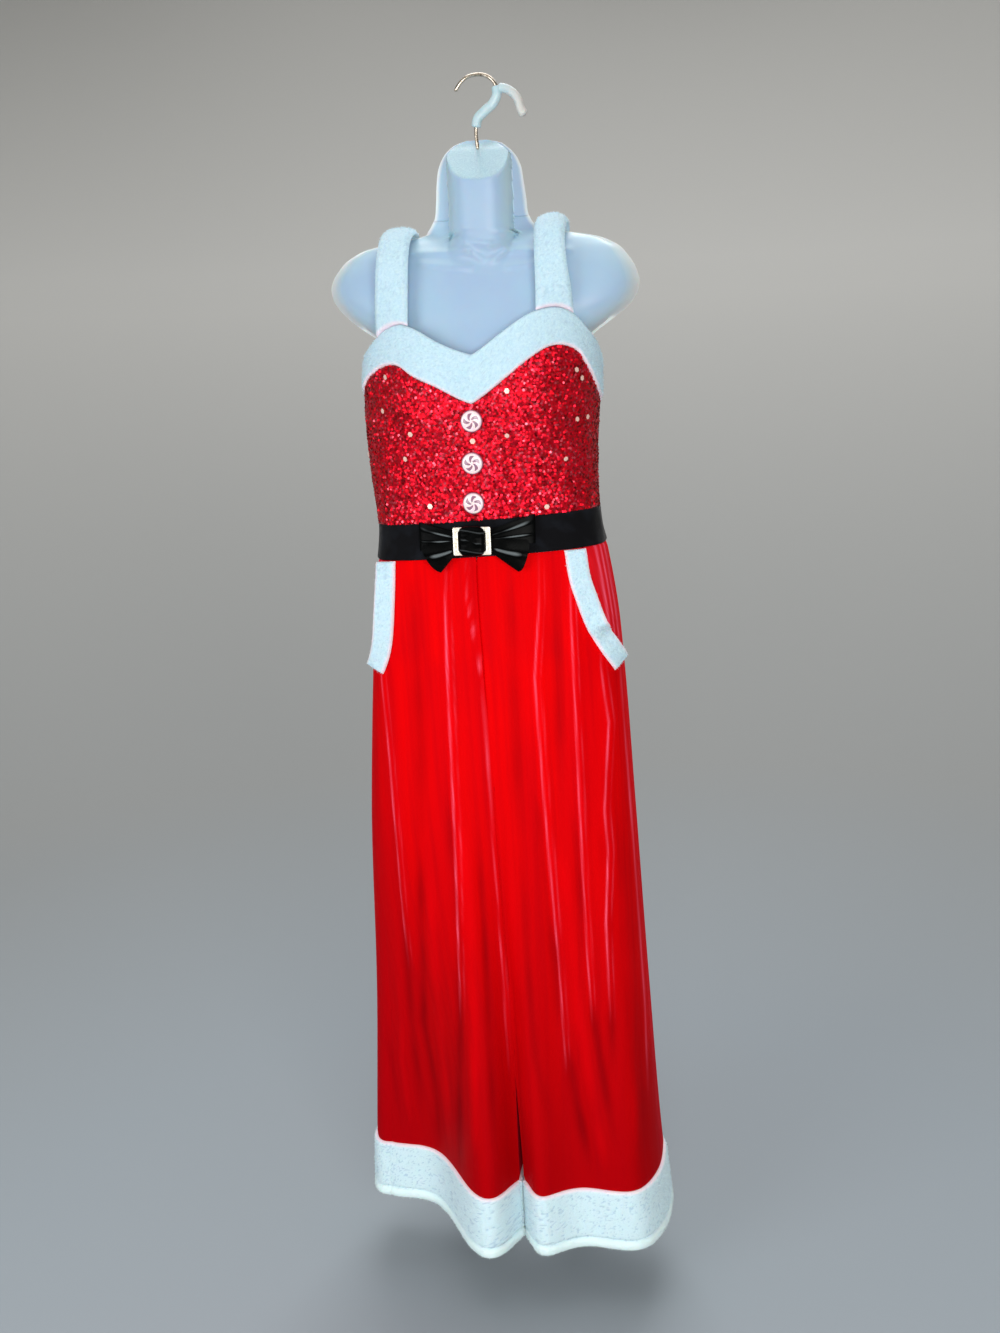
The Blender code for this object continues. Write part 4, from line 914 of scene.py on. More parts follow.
along = np.linspace(0, 1, 150)[:, None]
y, z, raised = (table_value(STRAP_PATH, STRAP_PATH_COLUMNS, c, along) for c in ("y", "z", "raised"))
at_top = STRAP_PATH[STRAP_TOP][0]
to_top, from_top = ease(along / at_top), ease((along - at_top) / (1 - at_top))
hold_front = (1 - along / STRAP_HOLD).clip(0) ** 2
hold_back = ((along - (1 - STRAP_HOLD)) / STRAP_HOLD).clip(0) ** 2
for word, side, middle_x, wide, top, crown, flat in STRAPS:
    share = np.linspace(0, 1, 21)
    front = 90 - side * (STRAP_FRONT[0] + np.ptp(STRAP_FRONT) * share)
    back = 270 + side * (STRAP_BACK[0] + np.ptp(STRAP_BACK) * share)
    tops = [neckline("top", angles) for angles in (front, back)]
    start, end = body(front, tops[0]), body(back, tops[1])
    over_x = middle_x + side * wide * (share - 0.5)
    x = start[:, 0] + (over_x - start[:, 0]) * to_top + (end[:, 0] - over_x) * from_top
    rise = top - STRAP_PATH[STRAP_TOP][2] - crown * (2 * share - 1) ** 2
    y_here = y + (start[:, 1] - y[0]) * hold_front + (end[:, 1] - y[-1]) * hold_back
    z_here = z + (start[:, 2] - z[0]) * hold_front + (end[:, 2] - z[-1]) * hold_back
    inner = grid_of(x, y_here, z_here + rise * raised)
    out = grid_facing(inner) * side * (1 - hold_front - hold_back)[..., None]
    out = unit(
        out + body_out(front, tops[0]) * hold_front[..., None]
        + body_out(back, tops[1]) * hold_back[..., None]
    )
    inner = draw_in(inner, (SEAM, SEAM, 0, 0))
    puff = rounded(border_distance(inner, "lr"), 0.009, 0.16)
    low = inner + out * (STRAP_PLUSH / 2 * (1 - puff) * 0.9)[..., None]
    thick = STRAP_PLUSH * (puff - 0.45 * (1 - puff))
    thick = thinned(np.maximum(thick, 0.0012), inner, ("bt", 0.004, 0.6))
    cloth, tufts = plush_piece(f"strap_{word}", low, out, thick, 71 + side, (f"strap_{word}",))


# ================================================================ the belt
# A band of black velvet, cut as one strip and joined at the back, sewn between the bodice and the
# trousers.
BELT_CLOTH = 0.0030
angles = even_angles(90, 450, 75)[:-1]
inner, out = body_grid(angles, BELT_BOTTOM, BELT_TOP, 26)
ripple = sum(
    shade_table(*inner.shape[:2], *places) * high
    for places, high in (((81, 2, 60), 0.0005), ((82, 3, 14), 0.0008))
)
edge = rounded(border_distance(inner, "bt"), 0.004, 0.5)
outer = inner + out * ((BELT_CLOTH + ripple) * edge)[..., None]
belt_velvet = finish(
    "black_velvet", (0.004, 0.004, 0.006), 0.85, Sheen_Weight=0.10, Sheen_Roughness=0.35,
    Specular_IOR_Level=0.10,
)
place = cloth_place(belt_velvet)
nap = speckle(belt_velvet, place, 1400, 2, 0.6)
brushed = steps(belt_velvet, speckle(belt_velvet, place, 22, 3), 0.45, 0.75)
belt_tone = mix(belt_velvet, brushed, (0.0025, 0.0025, 0.0035), (0.010, 0.012, 0.017))
use(belt_velvet, Base_Color=belt_tone)
rough_surface(belt_velvet, nap, 0.5, 0.0005)
skins = [draw_in(grid, (SEAM / 2, SEAM / 2, 0, 0)) for grid in (inner, outer)]
belt = shell("belt_velvet", *skins, belt_velvet, "velvet_black", ("belt",), ring=True)


# ================================================================ the trousers
# Four long panels of red stretch velvet, two to a leg, that fall in soft folds from the belt. They
# are sewn at the sides, up the centre seams and down the inseams.
VELVET = 0.0020
RISE_START, CROTCH, CUFF_TOP, HEM = -0.8000, -0.9000, -1.5850, -1.6800
# The largest folds, in front (1) and behind (-1): each one's share of its half's width at the waist
# and at the hem, the heights between which it grows, the width of its bell and its height.
FOLDS = (
    (1, -0.62, -0.60, -1.000, -1.640, 0.104, -0.098),
    (1, -0.24, -0.23, -1.000, -1.640, 0.059, 0.052),
    (1, 0.12, 0.12, -1.000, -1.550, 0.026, 0.012),
    (1, 0.36, 0.45, -0.850, -1.550, 0.045, -0.022),
    (1, 0.80, 0.88, -0.800, -1.450, 0.032, 0.014),
    (-1, -0.60, -0.62, -0.850, -1.500, 0.034, -0.022),
    (-1, -0.30, -0.34, -0.800, -1.450, 0.028, 0.014),
    (-1, 0.30, 0.30, -0.800, -1.450, 0.030, 0.016),
    (-1, 0.58, 0.60, -0.900, -1.500, 0.034, -0.024),
)
FOLD_FADE = 0.65
GROOVE_STARTS, GROOVE_DEPTH, GROOVE_WIDE = -0.820, 0.055, 0.024
LEG_GAP_STARTS, LEG_GAP_HEM = -1.3500, 0.0038
TURNED_IN = 0.035
LEG_SPREAD = 1.35
LEG_COLUMNS, LEG_INSIDE = 150, 12
MITRE = 0.41
# The creases laid over those folds. In each row: the front (1) or back (-1), the height of the
# ridge, or trough where it is negative, the width of its bell, how strongly its crest catches the
# light, and the points of its line, x and z in millimetres.
CREASES = (
    (1, 0.0030, 0.0090, 0.75, (-153, -770), (-153, -804), (-147, -921), (-144, -1052),
     (-146, -1240)),
    (1, 0.0034, 0.0100, 1, (-50, -650), (-52, -688), (-53, -800), (-54, -1072), (-60, -1300)),
    (1, 0.0016, 0.0060, 0.55, (-23, -640), (-23, -687), (-6, -800), (-3, -962),
     (-1, -1092), (3, -1388)),
    (1, 0.0030, 0.0090, 0.8, (77, -660), (77, -693), (68, -800), (76, -999),
     (87, -1226), (90, -1380)),
    (1, 0.0030, 0.0080, 0.85, (118, -660), (118, -696), (120, -804), (126, -1121), (131, -1300)),
    (1, 0.0034, 0.0090, 1, (155, -790), (164, -870), (156, -995), (160, -1056),
     (155, -1161), (158, -1300)),
    (1, 0.0030, 0.0080, 0.7, (178, -800), (193, -1096), (203, -1311), (206, -1440)),
    (1, -0.0026, 0.0075, 0, (-150, -980), (-151, -1076), (-150, -1209), (-157, -1353),
     (-155, -1520)),
    (1, -0.0026, 0.0080, 0, (-113, -1069), (-120, -1202), (-135, -1350), (-124, -1490),
     (-125, -1580)),
    (1, -0.0020, 0.0060, 0, (-201, -1380), (-195, -1508), (-190, -1580)),
    (1, -0.0030, 0.0080, 0, (-62, -960), (-61, -1188), (-65, -1318), (-74, -1452), (-79, -1580)),
    (1, -0.0022, 0.0060, 0, (-24, -1040), (-22, -1188), (-20, -1371), (-18, -1500)),
    (1, -0.0018, 0.0070, 0, (37, -1062), (41, -1248), (47, -1371), (65, -1469)),
    (1, -0.0028, 0.0080, 0, (66, -974), (78, -1188), (86, -1315), (103, -1445), (122, -1560)),
    (1, -0.0026, 0.0080, 0, (117, -978), (122, -1188), (131, -1311), (144, -1406), (159, -1520)),
    (1, -0.0024, 0.0075, 0, (153, -981), (158, -1188), (159, -1400)),
    (1, -0.0022, 0.0060, 0, (191, -1300), (197, -1452), (200, -1540)),
    (1, -0.0016, 0.0100, 0, (-100, -650), (-102, -900), (-110, -1050)),
    (1, -0.0016, 0.0090, 0, (35, -650), (37, -900), (37, -1050)),
    (1, -0.0014, 0.0090, 0, (97, -680), (96, -950)),
    (1, 0.0026, 0.0110, 0, (-96, -1040), (-104, -1199), (-104, -1336), (-100, -1580)),
    (1, 0.0024, 0.0095, 0, (-42, -1000), (-39, -1185), (-42, -1311), (-49, -1560)),
    (1, 0.0022, 0.0090, 0, (20, -1000), (20, -1188), (24, -1315), (33, -1560)),
    (1, 0.0026, 0.0110, 0, (96, -1040), (105, -1188), (112, -1315), (128, -1441), (146, -1570)),
    (1, 0.0022, 0.0080, 0, (175, -1076), (180, -1195), (187, -1322), (191, -1540)),
    (1, 0.0020, 0.0070, 0, (-171, -1250), (-172, -1357), (-179, -1431), (-173, -1580)),
    (-1, 0.0034, 0.0100, 0.9, (-140, -680), (-150, -900), (-155, -1250)),
    (-1, 0.0030, 0.0090, 0.7, (-92, -650), (-96, -950), (-108, -1400)),
    (-1, 0.0036, 0.0100, 1, (-45, -660), (-50, -900), (-52, -1200), (-60, -1500)),
    (-1, 0.0030, 0.0090, 0.8, (38, -650), (42, -850), (50, -1250)),
    (-1, 0.0036, 0.0100, 1, (88, -680), (92, -980), (104, -1350)),
    (-1, 0.0030, 0.0090, 0.8, (140, -660), (148, -900), (160, -1300)),
    (-1, -0.0026, 0.0085, 0, (-115, -900), (-125, -1250), (-130, -1570)),
    (-1, -0.0026, 0.0080, 0, (-20, -950), (-24, -1250), (-28, -1560)),
    (-1, -0.0028, 0.0085, 0, (66, -900), (74, -1250), (80, -1570)),
    (-1, -0.0024, 0.0080, 0, (120, -1000), (130, -1300), (140, -1570)),
)
CREASE_END = 0.110
CREASE_FULL = 0.0045  # a trough this deep has its full painted shade, and a ridge this high its full painted highlight


def scaled(material, place, scale):
    """A place multiplied by a scale for each axis, which draws a pattern out along a small one."""
    return add(material, "Mapping", {"Vector": place, "Scale": scale}).outputs["Vector"]


def creases_on(face):
    """The height, width, shine and line, in metres, of each crease on the front or the back."""
    return [
        (high, wide, shine, np.array(line) / 1000)
        for creased_face, high, wide, shine, *line in CREASES if creased_face == face
    ]


def crease_share(x, z, line, wide):
    """A crease's bell across its line, which is straight between its points, fading in and out over
    its two ends and swelling unevenly between them."""
    places = line[::-1]
    middle = np.interp(z, places[:, 1], places[:, 0])
    grown = ease((places[-1, 1] - z) / CREASE_END + 0.35)
    grown = grown * ease((z - places[0, 1]) / CREASE_END + 0.25)
    start = places[0, 0]
    uneven = 1 + 0.22 * np.sin(23 * z + 90 * start) + 0.12 * np.sin(61 * z + 40 * start)
    return hump(x - middle, wide) * grown * uneven


def crease_offset(face, x, z):
    """The creases' height out of the cloth: the sum of their bells, growing down from the belt."""
    total = sum(high * crease_share(x, z, line, wide) for high, wide, _, line in creases_on(face))
    return total * ease((BELT_BOTTOM - z) / 0.05)


def crease_shine(face, x, z):
    """Where a crest catches the light: a thin broken line a little to one side of each ridge."""
    total = 0 * x
    for _, w, shine, line in creases_on(face):
        if shine > 0:
            broken = 0.70 + 0.30 * np.sin(47 * z + 60 * line[0][0]) * np.sin(19 * z + 2)
            total = total + shine * broken * crease_share(x + 0.25 * w, z, line, 0.13 * w)
            beside = crease_share(x - 0.55 * w, z, line, 0.10 * w)
            total = total + 0.45 * shine * (1 - broken) * beside
    return total


def inner_offset(z):
    """How far a leg's inner face stays from the middle plane, with a gap that grows to the hem."""
    down = (LEG_GAP_STARTS - z) / (LEG_GAP_STARTS - CUFF_TOP)
    return SEAM / 2 + VELVET + LEG_GAP_HEM * ease(down)


def fold_offset(face, x, z, row):
    """The large folds' height out of the cloth: the sum of their bells, each growing downwards."""
    total = np.zeros(np.broadcast(x, z).shape)
    down = np.clip((BELT_BOTTOM - z) / (BELT_BOTTOM - HEM), 0, 1)
    for folded_face, at_waist, at_hem, starts, full, wide, height in FOLDS:
        if folded_face == face:
            share = at_waist + (at_hem - at_waist) * down
            half = np.where(share >= 0, row["left"] - row["middle"], row["middle"] - row["right"])
            grown = ease((starts - z) / (starts - full))
            total = total + height * grown * hump(x - (row["middle"] + share * half), wide)
    return total


def leg(side, face, a, z):
    """A leg's inner face. a runs from the side seam at 0, over the front or back, to the middle
    plane at 1, and from there along the inner wall to the inseam at 2. The folds and creases move
    it forward or back, less and less towards the side seam."""
    row = section(z)
    from_side = np.clip(a, 0, 1) ** LEG_SPREAD
    from_centre = (1 - np.clip(a, 0, 1)) ** LEG_SPREAD
    over = 90 * face * from_side / (from_side + from_centre)
    base = body(np.where(side > 0, over, 180 - over), z)
    middle = row["middle"]
    x = middle + side * np.maximum(side * (base[..., 0] - middle), inner_offset(z))
    half = np.where(side > 0, row["left"] - middle, middle - row["right"])
    from_middle = np.abs(x - middle)
    side_y = np.where(side > 0, row["left_y"], row["right_y"])
    edge_y = np.where(face > 0, row["front"], row["back"])
    fade = np.clip((base[..., 1] - side_y) / (edge_y - side_y) / FOLD_FADE, 0, 1)
    depth = GROOVE_DEPTH * ease((GROOVE_STARTS - z) / (GROOVE_STARTS - HEM))
    groove = depth * hump(from_middle, GROOVE_WIDE)
    crease = crease_offset(face, x, z) * (1 - ease((from_middle / half - 0.90) / 0.10))
    y = base[..., 1] - face * (fold_offset(face, x, z, row) * fade + crease - groove)
    inseam_y = (row["front"] + row["back"]) / 2
    y = y + (inseam_y - y) * np.clip(a - 1, 0, 1)
    return grid_of(x, y, base[..., 2])


def leg_out(side, face, a, z):
    """The way out of a leg's panel, from a small step over it and one of two millimetres up it."""
    def surface(u, v):
        return leg(side, face, u, v)

    return facing(surface, a, z, -0.003 * side * face, 0.002)


def leg_end(z):
    """Where a panel's inner edge lies: the turned-in centre seam, the rise curve, the inseam."""
    return 1 + TURNED_IN + (1 - TURNED_IN) * ease((RISE_START - z) / (RISE_START - CROTCH))


def leg_places(start, heights):
    """The grid of a leg panel: columns from its outer edge to the middle plane, closer together by
    a pocket, then the inner wall as far as that height's leg_end."""
    z = np.asarray(heights, float)[:, None]
    start = np.broadcast_to(start, (len(heights),))[:, None]
    over = np.linspace(0, 1, LEG_COLUMNS)
    inside = np.linspace(0, 1, LEG_INSIDE + 1)[1:]
    a = np.concatenate([over + start * (1 - over) ** 2, 1 + (leg_end(z) - 1) * inside], axis=1)
    return a, z + 0 * a


POCKET_COLUMNS = ("z", "right", "left", "trim_right", "trim_left")
POCKET = (
    (-0.6300, 0.455, 0.414, 0.556, 0.537),
    (-0.6600, 0.455, 0.403, 0.575, 0.545),
    (-0.6950, 0.441, 0.380, 0.586, 0.532),
    (-0.7250, 0.403, 0.348, 0.586, 0.506),
    (-0.7450, 0.348, 0.294, 0.575, 0.474),
    (-0.7620, 0.255, 0.217, 0.556, 0.433),
    (-0.7750, 0.027, 0.027, 0.533, 0.395),
    (-0.8000, 0.000, 0.000, 0.470, 0.299),
)
POCKET_END = -0.7750


def pocket_share(word, z):
    """How far over the front panel the pocket's edge lies at each height, and 0 below its end."""
    share = table_value(POCKET, POCKET_COLUMNS, word, z)
    return np.where(z < POCKET_END - 1e-6, 0.0, share)


velvet = finish(
    "red_velvet", (0.70, 0.001, 0.004), 0.66, Sheen_Weight=0.20, Sheen_Roughness=0.25,
    Sheen_Tint=(1.0, 0.015, 0.06), Specular_IOR_Level=0.02,
)
place = cloth_place(velvet)
long_nap = scaled(velvet, place, (1.0, 0.030, 1.0))
streaks = speckle(velvet, long_nap, 420, 3, 0.55)
wide_streaks = speckle(velvet, long_nap, 75, 2)
split = add(velvet, "SeparateXYZ", {"Vector": object_place(velvet)})
height = split.outputs["Z"]
# Darker towards the hem: painted shade.
painted_shade_down = steps(velvet, height, -0.85, -1.55)
napped = steps(velvet, mark(velvet, "nap"), -0.9, 0.9)
base = mix(velvet, napped, (0.68, 0.000, 0.002), (0.78, 0.000, 0.001))
base = mix(velvet, painted_shade_down, base, (0.40, 0.000, 0.002))
base = mix(velvet, steps(velvet, wide_streaks, 0.55, 0.30, 0.0, 0.30), base, (0.34, 0.000, 0.003))
# Darker in the crease troughs: painted shade. Lighter on their ridges: a painted highlight.
trough_shade = steps(velvet, mark(velvet, "fold"), 0.0, -0.9, 0.0, 0.72)
base = mix(velvet, trough_shade, base, (0.17, 0.000, 0.002))
ridge_highlight = steps(velvet, mark(velvet, "fold"), 0.2, 0.9, 0.0, 0.30)
base = mix(velvet, ridge_highlight, base, (0.95, 0.000, 0.003))
# Darker towards the wearer's right side: painted shade.
right_side_shade = steps(velvet, split.outputs["X"], -0.125, -0.215, 0.0, 0.55)
base = mix(velvet, right_side_shade, base, (0.36, 0.000, 0.003))
shine = times(velvet, mark(velvet, "shine"), steps(velvet, streaks, 0.38, 0.60, 0.35, 1.0))
use(velvet, Base_Color=mix(velvet, shine, base, (1.0, 0.120, 0.210)))
uneven_gloss(velvet, streaks, 0.55, 0.75)
short_nap = scaled(velvet, place, (1.0, 0.30, 1.0))
rough_surface(velvet, speckle(velvet, short_nap, 1500, 2), 0.35, 0.0004)


def velvet_panel(name, side, face, a, z, seed, shine=0.0, sewn="btl"):
    """A panel of a leg: its wall, thinner at its sewn borders and full at its fold along the middle
    plane, with the lie of its nap, the depth of its creases, which sets painted shade in their
    troughs and a painted highlight on their ridges, and its painted shine. Its flat places run
    outwards from that fold and up."""
    inner, out = leg(side, face, a, z), leg_out(side, face, a, z)
    edge = rounded(border_distance(inner, sewn), 0.0045, 0.40)
    edge = edge * (1 + MITRE * (np.abs(a - 1) < 1e-4))
    outer = inner + out * (VELVET * edge)[..., None]
    skins = [draw_in(grid, (SEAM / 2,) * 4) for grid in (inner, outer)]
    x = inner[..., 0]
    catch = (crease_shine(face, x, z) + shine) * (a <= 1)
    # The creases' depth, for painted shade in their troughs and a painted highlight on their
    # ridges.
    fold = np.clip(crease_offset(face, x, z) / CREASE_FULL, -1, 1)
    nap = shade_table(*a.shape, seed, 7, 12)
    along = flat_places(inner)[..., 0]
    at_fold = np.take_along_axis(along, np.abs(a - 1).argmin(axis=1)[:, None], axis=1)
    return shell(
        name + "_velvet", *skins, velvet, "velvet_red", (name,),
        {"nap": nap, "shine": catch, "fold": fold},
        flat=np.stack([side * face * (at_fold - along), z], -1),
    )


panel_heights = np.concatenate([
    np.linspace(CUFF_TOP, -0.800, 92)[:-1], np.linspace(-0.800, -0.745, 26)[:-1],
    np.linspace(-0.745, BELT_BOTTOM, 16),
])
# Each panel's width at the hem and its flat area, by side: the front's, then the back's.
PANEL_FLATS = {"left": ((0.400, 0.313), (0.367, 0.302)), "right": ((0.461, 0.327), (0.384, 0.306))}
SIDES = ((1, "left"), (-1, "right"))
for side, word in SIDES:
    for (wide, area), (part, face, opened, seed) in zip(PANEL_FLATS[word], (
        ("front", 1, pocket_share(word, panel_heights), 90), ("back", -1, 0.0, 95),
    )):
        a, z = leg_places(opened, panel_heights)
        panel = velvet_panel(f"leg_{part}_{word}", side, face, a, z, seed + side)


# ================================================================ the pocket sides and their trims
# Below the belt each front panel is cut away in a curve to the side seam, where a second piece of
# the velvet shows. A strip of plush is sewn along the curve and hangs a little past its end.
TRIM_WIDE, TRIM_FLARE, LAY = 0.030, 0.10, 0.0008
TRIM_END = {"right": -0.7950, "left": -0.7990}
# The flat sizes and areas of what shows.
POCKET_FLATS = {"left": ((0.066, 0.155), 0.0089), "right": ((0.080, 0.143), 0.0105)}
TRIM_FLATS = {"left": ((0.048, 0.196), 0.0064), "right": ((0.041, 0.172), 0.0054)}
for side, word in SIDES:
    heights = np.linspace(POCKET_END, BELT_BOTTOM, 60)
    a = pocket_share(word, heights)[:, None] * np.linspace(0, 1, 56)
    z = heights[:, None] + 0 * a
    from_side = np.abs(leg(side, 1, a, z)[..., 0] - section(z)["left" if side > 0 else "right"])
    # Vertical streaks of painted pink sheen for the pocket side, fed to its shine.
    sheen_streaks = 0.08 + 0.80 * np.sin(520 * from_side + 2.5 * np.sin(170 * from_side)) ** 4
    pocket = velvet_panel(f"pocket_side_{word}", side, 1, a, z, 99 + side, sheen_streaks, "btlr")
    flat, area = POCKET_FLATS[word]

    z = np.linspace(BELT_BOTTOM - 2 * SEAM, TRIM_END[word], 100)
    a = table_value(POCKET, POCKET_COLUMNS, "trim_" + word, z)
    edge = leg(side, 1, a, z)
    out = leg_out(side, 1, a + TRIM_FLARE, z)
    outward = unit(np.cross(out, unit(np.gradient(edge, axis=0)))) * side
    along_belt = outward.copy()
    along_belt[:, 2] = section(z)["lean"] * along_belt[:, 0]
    level = ease((BELT_BOTTOM - z) / TRIM_WIDE)[:, None]
    outward = unit(along_belt + (outward - along_belt) * level)
    start = edge + leg_out(side, 1, a, z) * (VELVET + LAY)
    inner = start[:, None] + outward[:, None] * np.linspace(0, TRIM_WIDE, 18)[:, None]
    thick = thinned(PLUSH, inner, ("lr", 0.007, 0.30), ("bt", 0.004, 0.40))
    cloth, tufts = plush_piece(
        f"pocket_trim_{word}", inner, np.broadcast_to(out[:, None], inner.shape), thick, 110 + side,
        (f"pocket_trim_{word}",), sewn="lr",
    )
    flat, area = TRIM_FLATS[word]


# ================================================================ the cuffs
# A broad band of the plush round the foot of each leg, one strip joined at the inseam. Its lower
# edge is turned up inside and stitched, which leaves a soft roll at the hem.
CUFF_ROWS, CUFF_COLUMNS, CUFF_INSIDE = 46, 118, 22
ROLL, ROLL_GROOVE = 0.0165, 0.0024
for side, word in SIDES:
    z = np.linspace(HEM, CUFF_TOP, CUFF_ROWS)[:, None]
    a = np.concatenate([
        np.linspace(0, 1, CUFF_COLUMNS), 1 + np.linspace(0, 1, CUFF_INSIDE + 1)[1:]
    ]) + 0 * z
    halves = [(leg(side, face, a, z), leg_out(side, face, a, z)) for face in (1, -1)]
    inner, out = (
        np.concatenate([front[:, :-1], back[:, :0:-1]], axis=1) for front, back in zip(*halves)
    )
    height = border_distance(inner, "b")
    rolled = 0.35 + 0.75 * np.sqrt(np.clip(1 - (2 * height / ROLL - 1) ** 2, 0, 1))
    above = 1 - 0.45 * hump(height - ROLL, ROLL_GROOVE)
    thick = PLUSH * np.where(height < ROLL, np.minimum(rolled, 1.1), above)
    thick = thinned(thick, inner, ("t", 0.006, 0.45))
    inner = draw_in(inner, (0, SEAM / 2, 0, 0))
    hem = ease((ROLL + 0.001 - height) / 0.004)
    cloth, tufts = plush_piece(
        f"cuff_{word}", inner, out, thick, 120 + side, (f"cuff_{word}",), True, hem, "t"
    )


# ================================================================ the buttons
# Three moulded buttons down the front, domed like boiled sweets, each with a pinwheel of five
# curved arms pressed in and tinted. They are glued over their shanks.
BUTTON_HEIGHTS = (-0.4475, -0.5030, -0.5565)
BUTTON_WIDE, BUTTON_THICK, SEQUIN_CLOTH, TOUCH = 0.0300, 0.0045, 0.0024, 0.0004
BUTTON_ARMS, BUTTON_TWIST, BUTTON_PRESS = 5, 1.3, 0.0004


def front_spot(x, z, lift):
    """A point in front of the suit, from its x and its height before the lean, and the way out."""
    angle = front_angle(x, z)
    out = body_out(angle, z)
    return body(angle, z) + out * np.asarray(lift)[..., None], out


def seat(x, z, lift, wide):
    """Where a flat round piece rests in front of the suit: its centre's place and its way out,
    clear of the cloth all over the piece."""
    spot, out = front_spot(x, z, lift)
    turn = np.linspace(0, 2 * np.pi, 17)
    rim, _ = front_spot(x + wide / 2 * np.cos(turn), z + wide / 2 * np.sin(turn), lift + 0 * turn)
    return spot + out * max(0.0, ((rim - spot) @ out).max()), out


def disc_faces(rows, columns):
    """Faces of a grid whose rows are rings from one pole, a single point, to the other."""
    loop = ring_index(rows, columns, 1)
    first = np.stack([loop[0, 1:], loop[0, :-1], np.zeros(columns, int)], -1)
    last = np.stack([loop[-1, :-1], loop[-1, 1:], np.full(columns, rows * columns + 1)], -1)
    return [grid_faces(loop), first, last]


candy = finish(
    "button_candy", (0.90, 0.70, 0.74), 0.22, Coat_Weight=0.6, Coat_Roughness=0.08,
    Subsurface_Weight=0.2, Subsurface_Scale=0.004,
)
place = object_place(candy)
cream = mix(candy, speckle(candy, place, 240, 3), (0.93, 0.66, 0.70), (0.95, 0.82, 0.83))
# A dark mauve ring at the rim: a painted shadow outline.
rim_shadow_tone = mix(candy, steps(candy, mark(candy, "rim"), 0.84, 0.95), cream, (0.26, 0.06, 0.12))
on_arm = steps(candy, mark(candy, "arm"), 0.42, 0.62)
use(candy, Base_Color=mix(candy, on_arm, rim_shadow_tone, (0.30, 0.14, 0.22)))
rough_surface(candy, speckle(candy, place, 500, 2), 0.12, 0.0002)

for number, z in enumerate(BUTTON_HEIGHTS, 1):
    spot, out = seat(section(z)["middle"], z, SEQUIN_CLOTH + TOUCH + BUTTON_THICK / 2, BUTTON_WIDE)
    across = unit(np.cross(np.array([0.0, 0.0, 1.0]), out))
    upward = np.cross(out, across)
    turn = np.linspace(0, 2 * np.pi, 180, endpoint=False)
    dome = np.linspace(0, 1, 34)[1:, None]
    reach = np.concatenate([dome, [[1.0], [0.90], [0.45]]])
    arm = np.sin(BUTTON_ARMS * (turn + BUTTON_TWIST * reach) + number)
    arm = ease((arm + 0.40) / 0.75) * ease((reach - 0.08) / 0.12) * ease((0.78 - reach) / 0.16)
    height = np.sqrt(np.clip(1 - dome**5, 0, 1)) * (0.60 + 0.40 * (1 - dome**2))
    height = BUTTON_THICK * np.concatenate([height - 0.30, [[-0.36], [-0.50], [-0.50]]])
    height = height - BUTTON_PRESS * arm * (height > -0.001)
    radius = BUTTON_WIDE / 2 * reach + 0 * turn
    rings = (
        spot + across * (radius * np.cos(turn))[..., None]
        + upward * (radius * np.sin(turn))[..., None] + out * height[..., None]
    )
    poles = [spot + out * BUTTON_THICK * 0.70, spot - out * BUTTON_THICK / 2]
    points = np.concatenate([poles[:1], rings.reshape(-1, 3), poles[1:]])
    arm, rim = (
        np.concatenate([[0.0], np.broadcast_to(values, radius.shape).ravel(), [0.0]])
        for values in (arm, reach)
    )
    piece(
        f"button_{number}_candy", points, [f[:, ::-1] for f in disc_faces(*radius.shape)], candy,
        (f"button_{number}",), marks={"arm": arm, "rim": rim}, sharp=60,
    )


# ================================================================ the bow
# Two loops and two tongues of black satin ribbon, gathered at the middle and held by a padded knot
# that fills the buckle's window.
SATIN = 0.0012
BOW_X, BOW_Z = -0.0120, -0.6068
BUCKLE_WIDE, BUCKLE_TALL, BUCKLE_THICK = 0.0520, 0.0380, 0.0030
BUCKLE_SIDE_BAR, BUCKLE_LONG_BAR, BUCKLE_ROUND = 0.0072, 0.0055, 0.0020
BOW_DEPTH = 0.0115
BOW_ROOT = BUCKLE_WIDE / 2 - BUCKLE_SIDE_BAR
TAIL_ROOT_X, TAIL_ROOT_Z, TAIL_ROOT_HALF = 0.0225, -0.0078, 0.0088
# A tongue's far edge: its bottom, middle and top, x and z from the bow's centre, by side.
TAIL_FAR = {
    1: ((0.0640, -0.0495), (0.0715, -0.0285), (0.0765, -0.0060)),
    -1: ((0.0470, -0.0440), (0.0635, -0.0230), (0.0705, -0.0030)),
}
TAIL_DEPTH, TAIL_CROWN, TAIL_ROUND = 0.0089, 0.0020, 0.09
TAIL_FLATS = {"left": ((0.046, 0.054), 0.0018), "right": ((0.041, 0.049), 0.0015)}
# A loop's half height, its middle's height and its layers' distance apart all grow outwards.
LOOP_HALF, LOOP_HALF_GROWS = 0.0095, 0.0100
LOOP_MIDDLE, LOOP_MIDDLE_GROWS = 0.0020, 0.0070
LOOP_DEPTH, LOOP_LAYER, LOOP_LAYER_GROWS = 0.0052, 0.0012, 0.0024
PLEAT = 0.0012


def bow_place(x, z, depth):
    """A point of the bow from its x and z, measured from the bow's centre, and its distance in
    front of the belt."""
    spot, _ = front_spot(BOW_X + x, BOW_Z + z - section(BOW_Z)["lean"] * BOW_X, BELT_CLOTH + depth)
    return spot


satin = finish("black_satin", (0.001, 0.001, 0.001), 0.30, Specular_IOR_Level=0.03)
place = object_place(satin)
# Grey-green where the crest mark is high: painted highlights.
satin_highlight = steps(satin, mark(satin, "crest"), 0.15, 0.75)
use(satin, Base_Color=mix(satin, satin_highlight, (0.0010, 0.0012, 0.0012), (0.115, 0.132, 0.138)))
uneven_gloss(satin, speckle(satin, place, 90), 0.26, 0.36)
threads = add(
    satin, "TexWave", {"Vector": place, "Scale": 700.0, "Distortion": 0.6},
    bands_direction="DIAGONAL",
)
rough_surface(satin, threads.outputs["Fac"], 0.05, 0.0002)

